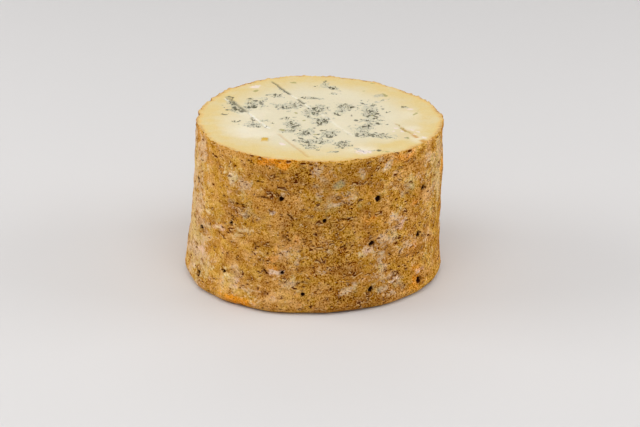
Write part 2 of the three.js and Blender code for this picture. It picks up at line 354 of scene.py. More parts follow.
# Azimuth, height, half width, half height and strength of each patch on the rind's shown side.
SHOWN_PATCHES: dict[Tint, Patches] = {
    # The faint amber patches at (-134, 10), (-128, 34) and (-112, 14) are partly painted light low on the
    # left of the wall.
    Tint.AMBER: (
        (-111, 83.5, 10, 3.2, 1.6), (-124, 4.5, 9, 3, 1.2), (-134, 10, 10, 6, 0.2), (-128, 34, 14, 9, 0.12),
        (-150, 60, 5, 20, 0.25), (-48, 80, 10, 5, 0.55), (-36, 8, 11, 5, 0.65), (-40, 26, 10, 8, 0.25),
        (-66, 50, 5, 5, 0.4), (-66, 66, 5, 6, 0.3), (-108, 28, 3, 10, 0.45), (-72, 6, 12, 3, 0.3),
        (-112, 14, 9, 5, 0.15), (-38, 54, 6, 8, 0.4), (-90, 5, 8, 3, 0.3), (-84, 30, 10, 4, 0.3),
        (-128, 62, 4, 3, 0.4), (-148, 72, 6, 5, 0.3), (-100, 62, 5, 6, 0.3), (-100, 41, 6, 5, 0.3),
        (-107, 25, 5, 5, 0.3), (-112, 12, 7, 4, 0.3), (-95, 11, 6, 4, 0.25), (-146, 30, 5, 6, 0.3),
        (-56, 49, 7, 4, 0.35), (-40, 30, 5, 4, 0.35), (-36, 15, 4, 4, 0.5), (-45, 40, 5, 4, 0.3),
        (-64, 20, 6, 3, 0.25),
    ),
    # The broad umber patches low on the front, at (-70, 6), (-60, 4), (-78, 10) and (-52, 10), are partly
    # painted shade where the foot gets less light.
    Tint.UMBER: (
        (-97, 77, 8, 6, 0.95), (-72, 79, 11, 5, 0.85), (-79, 72, 6, 5, 0.4), (-124, 54, 8, 5, 0.55),
        (-76, 55, 9, 4, 0.55), (-100, 52, 7, 8, 0.45), (-73, 40, 9, 6, 0.45), (-87, 47, 7, 5, 0.35),
        (-36, 50, 5, 9, 0.45), (-76, 25, 9, 5, 0.35), (-92, 68, 7, 5, 0.4), (-132, 56, 5, 4, 0.4),
        (-66, 72, 6, 4, 0.4), (-34, 31, 5, 5, 0.3), (-54, 76, 4, 4, 0.35), (-70, 6, 24, 10, 0.65),
        (-82, 28, 18, 10, 0.5), (-60, 20, 8, 6, 0.3), (-108, 70, 10, 8, 0.45), (-92, 47, 12, 6, 0.3),
        (-50, 13, 6, 5, 0.4), (-38, 28, 5, 5, 0.5), (-40, 58, 5, 5, 0.45), (-112, 47, 6, 3, 0.45),
        (-60, 4, 12, 4, 0.4), (-129, 51, 8, 7, 0.5), (-99, 57, 8, 6, 0.3), (-80, 50, 11, 6, 0.35),
        (-77, 33, 9, 6, 0.35), (-56, 33, 7, 6, 0.3), (-38, 15, 6, 5, 0.35), (-78, 10, 13, 8, 0.3),
        (-52, 10, 10, 7, 0.25), (-128, 52, 9, 7, 0.3),
    ),
    Tint.BLOOM: (
        (-128, 70, 7, 5, 0.85), (-124, 64, 3, 6, 0.5), (-127, 53, 7, 4, 0.55), (-125, 44.5, 6, 3, 0.65),
        (-109, 56, 1.4, 1.4, 1.6), (-98, 32, 8, 5, 0.55), (-99, 19, 9, 5, 0.65), (-126, 16, 8, 6, 0.6),
        (-88, 66, 7, 4, 0.4), (-81, 61, 4, 2, 1.0), (-90, 80, 6, 4, 0.55), (-75, 65, 4, 5, 0.65),
        (-58, 80, 4, 5, 0.7), (-54, 65, 6, 6, 0.5), (-45, 68, 5, 4, 0.55), (-49, 47, 5, 9, 0.7),
        (-64, 34, 6, 4, 0.75), (-57, 24, 5, 8, 0.7), (-51, 14, 7, 5, 0.35), (-73, 14, 6, 4, 0.7),
        (-84, 45, 4, 3, 0.25), (-84, 23, 5, 2, 0.45), (-83, 37, 4, 3, 0.45), (-156, 22, 10, 9, 0.7),
        (-166, 50, 13, 30, 0.8), (-160, 12, 15, 11, 0.8), (-18, 66, 12, 18, 0.8), (-154, 72, 9, 13, 0.6),
        (-152, 30, 8, 12, 0.6), (-30, 72, 10, 10, 0.6), (-26, 45, 9, 12, 0.2), (-130, 13, 12, 7, 0.3),
        (-65, 6, 6, 3, 0.5), (-118, 9, 6, 3, 0.4), (-24, 20, 8, 10, 0.35), (-107, 67, 3, 2, 0.5),
        (-143, 47, 6, 3, 0.5), (-155, 76, 4, 7, 0.6), (-55, 40, 6, 6, 0.6), (-42, 33, 6, 5, 0.55),
        (-128, 40, 8, 4, 0.5), (-115, 32, 5, 4, 0.45), (-155, 52, 6, 8, 0.4), (-145, 15, 6, 7, 0.7),
        (-70, 75, 5, 4, 0.6), (-168, 60, 7, 22, 0.5), (-164, 34, 9, 14, 0.5), (-30, 32, 8, 8, 0.35),
        (-128, 76, 10, 6, 0.3), (-112, 8, 10, 6, 0.35), (-150, 55, 8, 10, 0.35), (-150, 36, 8, 9, 0.3),
        (-54, 10, 8, 6, 0.35),
    ),
    Tint.ROSE: (
        (-137, 41, 4, 2, 0.7), (-144, 46, 6, 2, 0.6), (-152, 22, 6, 6, 0.6), (-66, 34, 5, 2, 0.6),
        (-48, 45, 4, 5, 0.5), (-35, 14, 5, 2, 0.7), (-51, 74, 3, 3, 0.7), (-84, 46, 3, 1, 0.7),
        (-84, 23.5, 3, 1, 0.7), (-30, 42, 4, 6, 0.5), (-130, 62, 5, 5, 0.5), (-130, 53, 5, 3, 0.5),
        (-108, 22, 3, 2, 0.5), (-160, 66, 4, 4, 0.6), (-22, 70, 5, 10, 0.4), (-93, 83, 4, 2, 0.4),
        (-127, 13, 7, 4, 0.55),
    ),
    Tint.MOSS: (
        (-130, 70.5, 3, 2.2, 1.0), (-80, 72, 2.6, 2.2, 1.0), (-126, 72, 4, 3, 0.6), (-78, 61, 5, 1.6, 0.6),
        (-82, 66, 4, 3, 0.4), (-158, 72, 2, 3, 0.7), (-155, 52, 2, 4, 0.6), (-57, 29, 3, 6, 0.5),
        (-97, 22, 5, 3, 0.4), (-123, 52, 3, 3, 0.5), (-70, 13, 4, 3, 0.5), (-60, 82, 2, 3, 0.5),
        (-56, 10, 8, 5, 0.5), (-152, 12, 9, 8, 0.35), (-84, 59, 7, 3, 0.55), (-68, 59, 6, 3, 0.55),
        (-45, 63, 6, 5, 0.5), (-85, 72, 6, 4, 0.45), (-140, 45, 5, 4, 0.5), (-60, 75, 4, 4, 0.4),
        (-46, 12, 4, 5, 0.5), (-68, 27, 5, 3, 0.45), (-131, 20, 5, 4, 0.4), (-120, 56, 5, 5, 0.35),
        (-26, 62, 5, 4, 0.4),
    ),
    Tint.CHALK: (
        (-108.8, 56, 1.5, 1.5, 1.0), (-84.5, 46, 2, 1, 0.7), (-84, 24, 2, 1, 0.7),
        (-137.5, 40.5, 3, 1.4, 0.6), (-130, 72.5, 4, 1.7, 0.8), (-107, 23, 4, 1.4, 0.9),
        (-133, 19.5, 2.4, 2.4, 0.85), (-130, 15.5, 3, 1.6, 0.6), (-67, 33, 3, 1.2, 0.6),
        (-81, 61, 3, 1.4, 0.6), (-52, 53, 2, 2, 0.5), (-104, 24.5, 1.6, 1.2, 0.8), (-145, 46, 4, 1.4, 0.5),
        (-157, 20, 5, 5, 0.5), (-51, 14, 4, 2, 0.6), (-35, 13, 3, 1, 0.6), (-58, 79, 1.6, 3, 0.6),
        (-105, 67, 2, 1.2, 0.5), (-32, 62, 2, 1, 0.6), (-160, 66, 3, 2, 0.6),
    ),
    # Pale tan patches are painted light: the lighter left and right parts of the wall, its low front-left and
    # the lit edge of the rim.
    Tint.PALE: (
        (-128, 14, 14, 10, 0.85), (-103, 10, 12, 9, 0.8), (-103, 35, 13, 10, 0.65), (-128, 36, 12, 9, 0.45),
        (-152, 36, 9, 11, 0.5), (-150, 56, 9, 11, 0.5), (-30, 74, 9, 9, 0.7), (-30, 35, 10, 10, 0.65),
        (-52, 74, 9, 8, 0.65), (-30, 55, 9, 9, 0.65), (-40, 84.6, 18, 1.3, 0.9), (-75, 84.6, 14, 1.1, 0.7),
        (-152, 84.6, 16, 1.1, 0.6),
    ),
}


@dataclass(frozen=True)
class RindMap:
    """The rind's relief and colours by azimuth and height: measured on the shown side, drawn on the far one.

    Attributes:
        needle_holes, moulded_holes: Azimuth, height and width of the shown side's open and overgrown holes.
        hole_squash: Factor on heights that makes holes and pits a little wider than high.
        hole_wall: Reach from a hole's middle at which its wall leaves the floor and meets the rind.
        far_columns: Number of columns of holes on the far side, and azimuth of the first.
        cracks, fissures: Azimuth, height, length and slant of the shown side's larger and finer cracks.
        crack_size, fissure_size: Width and depth of each kind.
        crack_wall: Nearness to a crack at which its wall leaves the rind and meets the floor.
        far_crack_spans: Spans of the far cracks' heights, lengths and slants.
        swells: Azimuth, height, half width, half height and rise of each broad swelling.
        small_pits: Azimuth, height and width of the smaller pits that stand out on the shown side.
        small_pit_slope: Their depth, as a share of their width.
        fine_pit_spans: Spans of azimuth, height, width and depth of the pits scattered all round.
        patches: For each tint, azimuth, height, half width, half height and strength on the shown side.
        far_patches: For each tint, how many patches the far side has, and their seed.
        far_patch_spans: Spans of the same five values on the far side.
        push_seeds: Seeds, round and up, of the noise that pushes the first tint's outlines about.
        push: Wavelength, layers and height of that noise, as a share of a patch.
        lumps, grain, grain_blur: Noises of the smaller lumps, of the grain and of its unevenness.
        hole_fray, crack_waver: Noises that fray holes and pits, and by which cracks waver.
    """

    mean_radius: float = 66.0
    needle_holes: tuple[Triple, ...] = (
        (-105.5, 64, 2.4), (-60.5, 62, 2.8), (-33.5, 60.5, 2.8), (-85.5, 52.5, 1.9), (-130, 45, 1.8),
        (-62.5, 37.5, 2.6), (-35, 35, 2.8), (-103.7, 23, 1.8), (-132, 18, 1.7), (-93.7, 12, 1.9),
        (-62, 12, 2.6), (-34.5, 9, 3.0),
    )
    moulded_holes: tuple[Triple, ...] = ((-130, 70, 2.6), (-80, 72, 3.2))
    hole_depth: float = 3.6
    hole_squash: float = 1.1
    hole_wall: Span = (0.65, 1.2)
    moulded_depth: float = 0.7
    hole_seed: int = 21
    far_columns: tuple[int, float] = (8, -4)
    column_pitch: float = 30
    far_rows: tuple[float, ...] = (11, 37, 62)
    hole_stray: Span = (-4, 4)
    far_hole_width: Span = (2.2, 3.2)
    cracks: tuple[Crack, ...] = (
        (-120, 81, 6, -20), (-114.5, 63.8, 10, -8), (-124.5, 57, 7, -15), (-101, 55.5, 6, -50),
        (-76.5, 52.8, 8, 4), (-102, 43, 5, -30), (-143, 38.5, 6, -75), (-77, 37.8, 6, 20),
        (-117, 36.5, 5, -80), (-47, 29, 5, 40), (-111.5, 22.8, 5, -50), (-95.8, 18, 7, 22),
        (-130, 48.7, 8, -20),
    )
    fissures: tuple[Crack, ...] = (
        (-112, 80.6, 4, -40), (-115, 71.4, 3, 10), (-107, 66.5, 3, -70), (-117.5, 31.8, 4, -60),
        (-94.5, 41.5, 3, 20), (-75, 37, 4, -30), (-21.4, 41, 4, -40), (-39.5, 29.5, 3, 30),
        (-65.7, 24, 2.6, -20), (-123.5, 60.5, 3, 60), (-131, 70.8, 2.6, 10), (-129, 69.2, 2.2, -25),
        (-100, 49.5, 3, -60), (-89, 45, 3, -15), (-96, 36, 3, 25), (-104, 33.5, 3, -10), (-70, 62, 3, 30),
        (-53, 56, 3, -35), (-46, 50, 3, 60), (-72, 28, 3, 15), (-90, 27, 3, -25), (-55, 33, 3, 45),
        (-42, 66, 3, -50), (-119, 46, 3, -50),
    )
    fissure_size: Span = (0.85, 0.7)
    crack_size: Span = (1.0, 1.3)
    crack_wall: Span = (0.35, 0.75)
    crack_seed: int = 33
    far_cracks: int = 12
    far_crack_spans: tuple[Span, ...] = ((14, 78), (4, 9), (-60, 60))
    swells: Patches = ((-4, 61, 11, 6, 0.9),)
    small_pits: tuple[Triple, ...] = (
        (-81, 14.2, 1.8), (-110.7, 33, 1.7), (-114.5, 12.7, 1.8), (-67.8, 54, 1.0), (-67.5, 25, 1.0),
        (-49.5, 12.5, 1.2), (-79.8, 31.5, 1.0), (-134.5, 58.8, 1.6), (-95, 42, 1.5), (-143.5, 67, 1.3),
        (-103.8, 73.5, 1.6), (-121, 51, 1.6), (-123.5, 79, 1.6), (-117, 71.5, 1.6), (-127, 57, 1.6),
        (-84, 37, 1.4), (-72, 49, 1.1), (-48.5, 63, 1.2), (-51, 75, 1.5), (-90, 60, 1.0),
    )
    small_pit_slope: float = 0.8
    pit_seed: int = 58
    fine_pits: int = 330
    fine_pit_spans: tuple[Span, ...] = ((0, 360), (3, 83), (0.7, 1.5), (0.3, 0.8))
    patches: dict[Tint, Patches] = field(default_factory=lambda: SHOWN_PATCHES)
    far_patches: dict[Tint, tuple[int, int]] = field(
        default_factory=lambda: {
            Tint.AMBER: (22, 562), Tint.UMBER: (19, 662), Tint.BLOOM: (40, 567), Tint.ROSE: (12, 533),
            Tint.MOSS: (14, 513), Tint.CHALK: (18, 572), Tint.PALE: (10, 525),
        }
    )
    far_patch_spans: tuple[Span, ...] = ((-12, 190), (3, 83), (4, 10), (3, 7), (0.4, 0.85))
    push_seeds: tuple[int, int] = (11, 31)
    push: tuple[float, int, float] = (7, 3, 0.5)
    lumps: SpaceNoise = SpaceNoise(1, 8, 3, 0.30)
    grain: SpaceNoise = SpaceNoise(2, 2.2)
    grain_blur: SpaceNoise = SpaceNoise(3, 2.1, height=0.35)
    grain_height: float = 0.15
    hole_fray: SpaceNoise = SpaceNoise(4, 1.7, height=0.22)
    crack_waver: SpaceNoise = SpaceNoise(5, 3, height=0.7)

    def all_holes(self) -> list[Triple]:
        """Lists azimuth, height and width of every open needle hole, shown and far."""
        draws = SeededDraws(self.hole_seed)
        columns, start = self.far_columns
        holes = list(self.needle_holes)
        for column, row in itertools.product(range(columns), self.far_rows):
            azimuth = start + self.column_pitch * column + draws.within(self.hole_stray)
            height = row + draws.within(self.hole_stray)
            holes.append((azimuth, height, draws.within(self.far_hole_width)))
        return holes

    def all_cracks(self) -> list[Crack]:
        """Lists azimuth, height, length and slant of every crack, shown and far."""
        draws = SeededDraws(self.crack_seed)
        columns, start = self.far_columns
        reach = (columns - 1) * self.column_pitch
        cracks = list(self.cracks)
        for place in range(self.far_cracks):
            azimuth = start + reach * (place + draws.share()) / self.far_cracks
            height, length, slant = (draws.within(span) for span in self.far_crack_spans)
            cracks.append((azimuth, height, length, slant))
        return cracks

    def all_patches(self, tint: Tint) -> list[Patch]:
        """Lists the patches of a tint, shown and far."""
        count, seed = self.far_patches[tint]
        draws = SeededDraws(seed)
        far = [tuple(draws.within(span) for span in self.far_patch_spans) for _ in range(count)]
        return [*self.patches[tint], *far]

    def offsets(self, points: RindPoints, at: Span) -> tuple[Array, Array]:
        """Measures how far round and up points lie from a place on the rind.

        Args:
            points: The points.
            at: Azimuth, in degrees, and height of the place.

        Returns:
            Arc length round to each point, the short way, and rise to it.
        """
        turn = points.azimuth - math.radians(at[0])
        turn = (turn + math.pi) % math.tau - math.pi
        return turn * self.mean_radius, points.height - at[1]

    def coat(self, points: RindPoints) -> RindCoat:
        """Works out relief and colours for points of the rind.

        Args:
            points: The points.

        Returns:
            The coat at each point.
        """
        grains = self.grain.grains(points.places) + self.grain_blur.at(points.places)
        hollow, pit, prick = self._holes(points)
        groove, crease = self._cracks(points)
        relief = self.lumps.at(points.places) + self.grain_height * grains + hollow + groove
        for place, rise, width, tall, swell in self.swells:
            round_off, up = self.offsets(points, (place, rise))
            relief += swell * np.exp(-((round_off / width) ** 2) - (up / tall) ** 2)
        tints = {tint: self._patches(tint, points) for tint in Tint}
        return RindCoat(relief, pit, np.maximum(crease, prick), tints)

    def _holes(self, points: RindPoints) -> tuple[Array, Array, Array]:
        """Sinks needle holes and pits: each a flat-bottomed bowl of smooth-stepped wall.

        Args:
            points: The points.

        Returns:
            The hollows' relief, 0 or below, then the nearness to an open hole and to a lesser pit: 1 less
            half the reach, where the reach is 1 on the edge.
        """
        draws = SeededDraws(self.pit_seed)
        bowls = [(*hole, self.hole_depth) for hole in self.all_holes()]
        pits = [(*pit, self.small_pit_slope * pit[2]) for pit in self.small_pits]
        for _ in range(self.fine_pits):
            pits.append(tuple(draws.within(span) for span in self.fine_pit_spans))
        ragged = 1 + self.hole_fray.at(points.places)
        relief = np.zeros(len(points.height))
        nearness = []
        for group in (bowls, pits):
            near = np.zeros(len(points.height))
            for place, rise, width, depth in group:
                round_off, up = self.offsets(points, (place, rise))
                reach = np.hypot(round_off, self.hole_squash * up) / (width / 2) * ragged
                relief = np.minimum(relief, -depth * (1 - smooth_step(*self.hole_wall, reach)))
                near = np.maximum(near, 1 - 0.5 * reach)
            nearness.append(near)
        for place, rise, width in self.moulded_holes:
            reach = np.hypot(*self.offsets(points, (place, rise))) / width
            relief = np.minimum(relief, -self.moulded_depth * (1 - smooth_step(0, 1, reach)))
        return relief, *nearness

    def _cracks(self, points: RindPoints) -> tuple[Array, Array]:
        """Opens cracks: wavering lines with a width that tapers as the root of 1-t² to both ends.

        Args:
            points: The points.

        Returns:
            The grooves' relief, 0 or below, and the nearness to a groove: 1 less half the reach, where the
            reach is 1 on the edge.
        """
        narrowest = 0.001
        kinds = ((self.all_cracks(), self.crack_size), (self.fissures, self.fissure_size))
        waver = self.crack_waver.at(points.places)
        relief = np.zeros(len(points.height))
        nearest = np.zeros(len(points.height))
        for cracks, (width, depth) in kinds:
            near = np.zeros(len(points.height))
            for place, rise, length, slant in cracks:
                along, across = turned(*self.offsets(points, (place, rise)), slant)
                taper = np.sqrt(np.clip(1 - (2 * along / length) ** 2, narrowest**2, 1))
                near = np.maximum(near, 1 - 0.5 * np.abs(across + waver) / (width / 2 * taper))
            relief = np.minimum(relief, -depth * smooth_step(*self.crack_wall, near))
            nearest = np.maximum(nearest, near)
        return relief, nearest

    def _patches(self, tint: Tint, points: RindPoints) -> Array:
        """Lays the patches of one tint: soft bells exp(-d²) whose outlines are pushed about by noise.

        Args:
            tint: The tint to lay.
            points: The points.

        Returns:
            The tint's strength at each point, from 0 to 1.
        """
        number = list(Tint).index(tint)
        noises = [SpaceNoise(seed + number, *self.push) for seed in self.push_seeds]
        push_round, push_up = (noise.at(points.places) for noise in noises)
        bare = np.ones(len(points.height))
        for place, rise, width, tall, strength in self.all_patches(tint):
            round_off, up = self.offsets(points, (place, rise))
            nearness = np.exp(-((round_off / width + push_round) ** 2) - (up / tall + push_up) ** 2)
            bare *= 1 - np.clip(strength * nearness, 0, 1)
        return 1 - bare


class Mould(Enum):
    """Kinds of mould mark on the cut face."""

    BLUE = "blue"
    GREY = "grey"
    OLIVE = "olive"
    LILAC = "lilac"


class Channel(Enum):
    """How a needle channel looks where the cut opened it."""

    MOULDED = "moulded"
    CLEAN = "clean"
    OCHRE = "ochre"


@dataclass
class CutCoat:
    """What lies on the cut face at each point of a surface.

    Attributes:
        relief: Height over the plain cut.
        moulds: Nearness to each kind of mould mark, 0.5 on its edge and 1 at its middle.
        channels, milk, butter, crumb: Strengths of channels, pale and buttery patches and the stray crumb.
    """

    relief: Array
    moulds: dict[Mould, Array]
    channels: dict[Channel, Array]
    milk: Array
    butter: Array
    crumb: Array


# Middle, length, width and heading of each smaller mould mark on the cut face.
MOULD_SPOTS: dict[Mould, Patches] = {
    Mould.BLUE: (
        (-46.5, 27, 3, 2, 80), (-24.5, 33, 2, 2, 0), (-13.5, 20.5, 2, 1.6, 0), (-12.5, 17.5, 2, 1.6, 60),
        (-18.5, 14.5, 2, 1.6, 0), (-15.5, 14, 2, 1.6, 0), (-12.5, 14.8, 2, 1.6, 0), (-17.5, 12, 2, 1.6, 0),
        (-1, 18.5, 2.4, 1.4, 70), (-7, 10.5, 2.4, 1.6, 0), (-3.5, 10.5, 2, 1.6, 0),
        (0.5, 9.5, 2.4, 1.4, 60), (-0.5, 4.5, 2, 1.6, 0), (-3.5, 5, 2, 1.4, -40), (11.8, 15.5, 3, 2, 70),
        (15.2, 20.8, 2, 1.6, 0), (14, 17, 2, 1.4, 0), (17.5, 15.5, 1.8, 1.6, 0), (9, 4.5, 2, 1.8, 0),
        (12.5, 7.5, 2, 1.4, 0), (17, 2, 3, 1.2, 80), (-1.5, 49.5, 2.4, 1.8, 30), (3.5, 57, 3, 1.6, 60),
        (23.8, 21.8, 2.2, 2, 0), (29, 19.5, 4, 2.4, 70), (45.2, 17, 3, 1.5, 75), (36.8, 8.5, 4, 1.5, 55),
        (36, -11, 1.6, 1.2, 0), (24.5, -14.5, 2.4, 1.6, 0), (19.5, -23.5, 3, 1.6, 20),
        (24.5, -28.5, 2.4, 1.4, 0), (30.8, -27, 2, 1.4, 0), (37.3, -30, 2, 1.8, 0),
        (23, -29.5, 1.8, 1.2, 0), (-50, 2.3, 3.5, 2, 10), (-43, -8.5, 4, 2.2, 10), (-24, -10.5, 2.2, 2, 0),
        (-31, -16.5, 1.8, 1.6, 0), (-14.5, -9.5, 2.2, 1.6, 0), (-13, -16, 2.4, 1.6, 0),
        (1.5, -9, 2, 1.6, 0), (3.5, -4, 2.4, 1.4, 70), (4.5, -6.5, 2, 1.4, 0), (0, -5, 2, 1.4, 0),
        (-7, -22, 2.4, 1.6, 60), (-8.5, -27.5, 2, 1.4, 0), (3.8, -20, 2.2, 1.8, 0), (7.5, -24, 3, 1.4, -60),
        (8.5, -27, 2, 1.4, 0), (0, -32, 2, 1.4, 0), (-1.5, -36.8, 2.4, 1.6, 0), (-6.5, -38.5, 2.4, 1.4, 0),
        (0, -48.5, 2, 1.8, 0), (12.5, -37, 3.6, 1.6, 0), (12, -44, 2.4, 1.4, 0), (-36, 19.5, 1.8, 1.2, 0),
        (-34, 13, 2.4, 1.2, 60), (-37.5, 13.5, 2.4, 1.2, -70), (8.5, 47, 2, 1.4, 0),
        (11.8, 42, 2.2, 1.6, -30), (26, -5, 2.4, 1.4, 40), (29.5, -2, 2, 1.4, 60), (-36, 28.5, 2, 1.6, 60),
        (-38.5, 26.5, 2, 1.4, 20), (-3.5, 29, 2, 1.6, 0), (-7.5, 29.5, 2.4, 1.4, -40),
        (7.5, 38, 1.6, 1.2, 60),
    ),
    Mould.GREY: (
        (-43, 11, 10, 7, -60), (-47, 21, 14, 3.5, -65), (-36, 17.5, 12, 6, 80), (-15, 16, 11, 8, 20),
        (-1, 9, 14, 9, 70), (1.5, -7, 10, 7, 60), (27, 9, 18, 8, -80), (27, -5, 8, 6, 0),
        (24, -16, 12, 7, 50), (29, -27, 16, 5, -5), (-13.5, -12.5, 12, 6, -75), (-34, -14, 8, 5, -30),
        (-6.5, -25, 9, 6, 60), (5.5, -25, 9, 6, 60), (-1, -37, 14, 5, 0), (-4, -45, 5, 4, 0),
        (11.8, -40.5, 8, 5, 75), (22, -50, 4.5, 2.6, -30), (12, 8, 9, 5, 60), (15, 16, 8, 6, -30),
        (6, 47, 10, 4, -35), (-4, 29, 8, 3, -15), (-23, 18, 7, 3, -40), (-30.5, 23, 9, 3, 80),
        (33, 34, 4, 4, 0), (-23, 32.5, 6, 4, -20), (-5, -1, 8, 2.4, -50), (-16.5, -23, 6, 4, 0),
        (33.5, 25, 8, 1.6, 40), (-20, 42, 12, 1.6, -63), (46.5, 16, 3, 2, 0), (-8.5, -33, 3, 2, 0),
        (7.5, -51, 4, 1.6, 20), (28, -49, 4, 1.4, 0), (8.3, 36.5, 3, 2, 0), (-28.5, -7, 5, 2, 0),
        (20, -47, 3, 2, -50), (3, 53, 5, 3, 60),
    ),
    Mould.OLIVE: (
        (-11.5, 5.5, 3, 1.8, -70), (-7.5, -6, 2.4, 1.6, 60), (-18.8, -20.8, 3, 2.4, -40),
        (36.3, 34.5, 5, 1.6, -70), (51.2, 5.5, 7, 1.0, 70), (28.8, 4, 4, 2, 80), (-1.5, -27, 2, 1.4, 0),
        (-34.5, 39.5, 4, 2.4, 30), (-14, 54, 3, 2, 0), (25, 41, 3, 1.4, 0), (-5.5, 13, 2, 1.4, 0),
        (35, -50.5, 8, 1.0, 0), (30, 55, 3, 1, 0), (45, -18.5, 13, 1.9, -63), (46, -30.5, 3, 1.6, 80),
    ),
    Mould.LILAC: (
        (-18, -41.5, 4, 2.4, -50), (36, 26.5, 3, 1.6, 20), (22, -50.5, 8, 5, -10),
        (49.5, -19, 3.4, 1.6, -55), (51.5, -21.5, 2.8, 1.6, -50), (40.3, -16, 2.6, 1.8, -60),
        (43.4, -21, 3.4, 1.8, -60), (49.5, -25, 2.4, 1.6, -60), (54.6, -29.5, 3, 1.8, -50),
        (39, -20.8, 2, 1.6, 0), (-35, 47, 7, 4, 20), (33, 24.5, 3, 1.6, 40), (49, 13, 4, 2, 0),
    ),
}


@dataclass(frozen=True)
class CutMap:
    """The cut face's mould, channels and tones, in millimetres right of and behind its middle.

    Attributes:
        pushes: Noises, right and back, that push mould marks about.
        pocket_shade: What the larger pockets lose in nearness, so that only their middles are dark.
        haze_spread: Factor on the size of the grey marks.
        pockets: Middle, length, width and heading of each larger mould pocket.
        pocket_wall, mark_wall: Nearness at which a wall leaves the cut and meets the floor.
        marks: For each kind of mould, middle, length, width and heading of its smaller marks.
        channels: Side offset, start, end, width, depth, strength and look of each stretch of channel.
        channel_ends: Shares of a stretch's half length at which it starts to fade and is gone.
        channel_walls: Shares of its half width at which its wall leaves the floor and meets the cut.
        milk, butter: Middle, half lengths and strength of the whitish and the buttery patches.
        bell_push: Noise that pushes these patches about.
        crumb: Middle, half lengths and height of the stray crumb.
        crumb_fray: Share of the marks' push that frays the crumb.
        crumb_wall: Shares of its half lengths at which its top ends and its side meets the cut.
    """

    pushes: tuple[SpaceNoise, SpaceNoise] = (SpaceNoise(31, 2.6, 2, 0.55), SpaceNoise(32, 2.6, 2, 0.55))
    grain: SpaceNoise = SpaceNoise(34, 4, 3, 0.05)
    pocket_shade: float = 0.35
    haze_spread: float = 1.25
    pockets: Patches = (
        (7.2, 45.3, 4, 3, -40), (-22.5, 32.3, 4, 3, -20), (-6, 28.8, 5, 2.6, -10), (-30.5, 24, 6, 2.4, 80),
        (-46.5, 20, 9, 3, -65), (-15.5, 20.8, 4, 2, -15), (-22.5, 18.5, 5, 2.4, -40),
        (-35.7, 16, 4, 3.5, 60), (-29.8, 16, 4, 2.8, 70), (-14, 15.5, 5, 3, 20), (16.5, 14.5, 5, 3, -60),
        (-2.5, 14, 5, 3, 60), (-17.8, 13.5, 4, 3, 60), (-43, 11, 6, 5, -60), (26.5, 10.5, 11, 5.5, -75),
        (-1.5, 7, 5, 3.2, 70), (29, 4.8, 5.5, 3.2, 80), (11, 3.5, 4, 3, -40), (-17, -2.5, 3.4, 3, 0),
        (-33.8, -5.5, 5, 2.8, -60), (0.8, -9.8, 4, 2.6, 20), (32.5, -10, 4.5, 2.2, 0),
        (-14, -12, 8, 4.5, -75), (26, -12.5, 5, 3.5, 30), (-27.8, -15.5, 5, 2.6, -60),
        (21.8, -20, 5, 2.4, 40), (-6.5, -25.5, 5, 3.4, 60), (26.5, -26, 3.2, 2.6, 0),
        (6.2, -27.5, 5, 3.4, 60), (32, -28.5, 4.5, 2.2, -50), (1.2, -38, 6, 3.4, -15),
        (11.8, -40.5, 5.5, 4, 70), (-4.6, -41.6, 4.6, 2.2, 0), (16.3, -41.7, 2.4, 2.2, 0),
    )
    pocket_depth: float = 0.9
    pocket_wall: Span = (0.4, 0.8)
    mark_depth: float = 0.35
    mark_wall: Span = (0.4, 0.7)
    marks: dict[Mould, Patches] = field(default_factory=lambda: MOULD_SPOTS)
    channel_heading: float = -63
    channels: tuple[tuple[float, float, float, float, float, float, Channel], ...] = (
        (2, -62, -38, 1.2, 0.8, 0.95, Channel.MOULDED), (2, -37, -30, 1.1, 0.5, 0.9, Channel.CLEAN),
        (2, -29.5, -21, 1.3, 0.8, 0.95, Channel.MOULDED), (2, -20.5, -13, 1.2, 0.5, 0.9, Channel.CLEAN),
        (3, -4, 33, 1.6, 0.2, 0.35, Channel.CLEAN), (-31, -47, -23, 1.8, 0.8, 0.6, Channel.MOULDED),
        (-33, -48, -35, 1.0, 0.5, 0.7, Channel.CLEAN), (-31, -22, 5, 1.2, 0.8, 0.9, Channel.CLEAN),
        (-30.5, 14, 36, 1.6, 0.35, 0.34, Channel.OCHRE), (-30.5, 35, 50, 1.7, 0.4, 0.38, Channel.OCHRE),
        (32, 26, 33, 1.0, 0.5, 0.4, Channel.OCHRE), (31.6, 33, 39, 1.8, 0.8, 0.65, Channel.OCHRE),
        (32.3, 39, 45, 1.2, 0.6, 0.55, Channel.OCHRE), (32, 45, 50, 2.7, 0.1, 0.95, Channel.OCHRE),
        (32.3, 53, 58.5, 3.4, 0.1, 0.95, Channel.OCHRE), (31.6, 58, 62, 2.2, 0.6, 0.8, Channel.OCHRE),
    )
    channel_waver: SpaceNoise = SpaceNoise(35, 6, 2, 0.35)
    channel_ends: Span = (0.85, 1.1)
    channel_walls: Span = (0.5, 1.05)
    milk: Patches = (
        (-38, -21, 9, 9, 0.9), (-31, -28, 7, 5, 0.7), (-47, -6, 7, 6, 0.3), (22.5, -48, 5.5, 5, 0.95),
        (46, 4, 7, 6, 0.45), (52, -30, 4, 5, 0.6), (48, -17, 6, 4, 0.6), (-33, 0, 4, 6, 0.5),
        (-38, 5, 4, 4, 0.6), (11, -10, 4, 6, 0.35), (38, -29, 4, 3, 0.4), (13, 38, 9, 7, 0.25),
        (-35, 46, 5, 4, 0.3),
    )
    butter: Patches = ((36, -42, 13, 9, 0.9), (-50, 22, 8, 12, 0.5))
    bell_push: SpaceNoise = SpaceNoise(36, 11, 3, 3.0)
    crumb: Patch = (-27.3, -35.3, 1.9, 2.4, 0.7)
    crumb_fray: float = 0.3
    crumb_wall: Span = (0.75, 1.05)

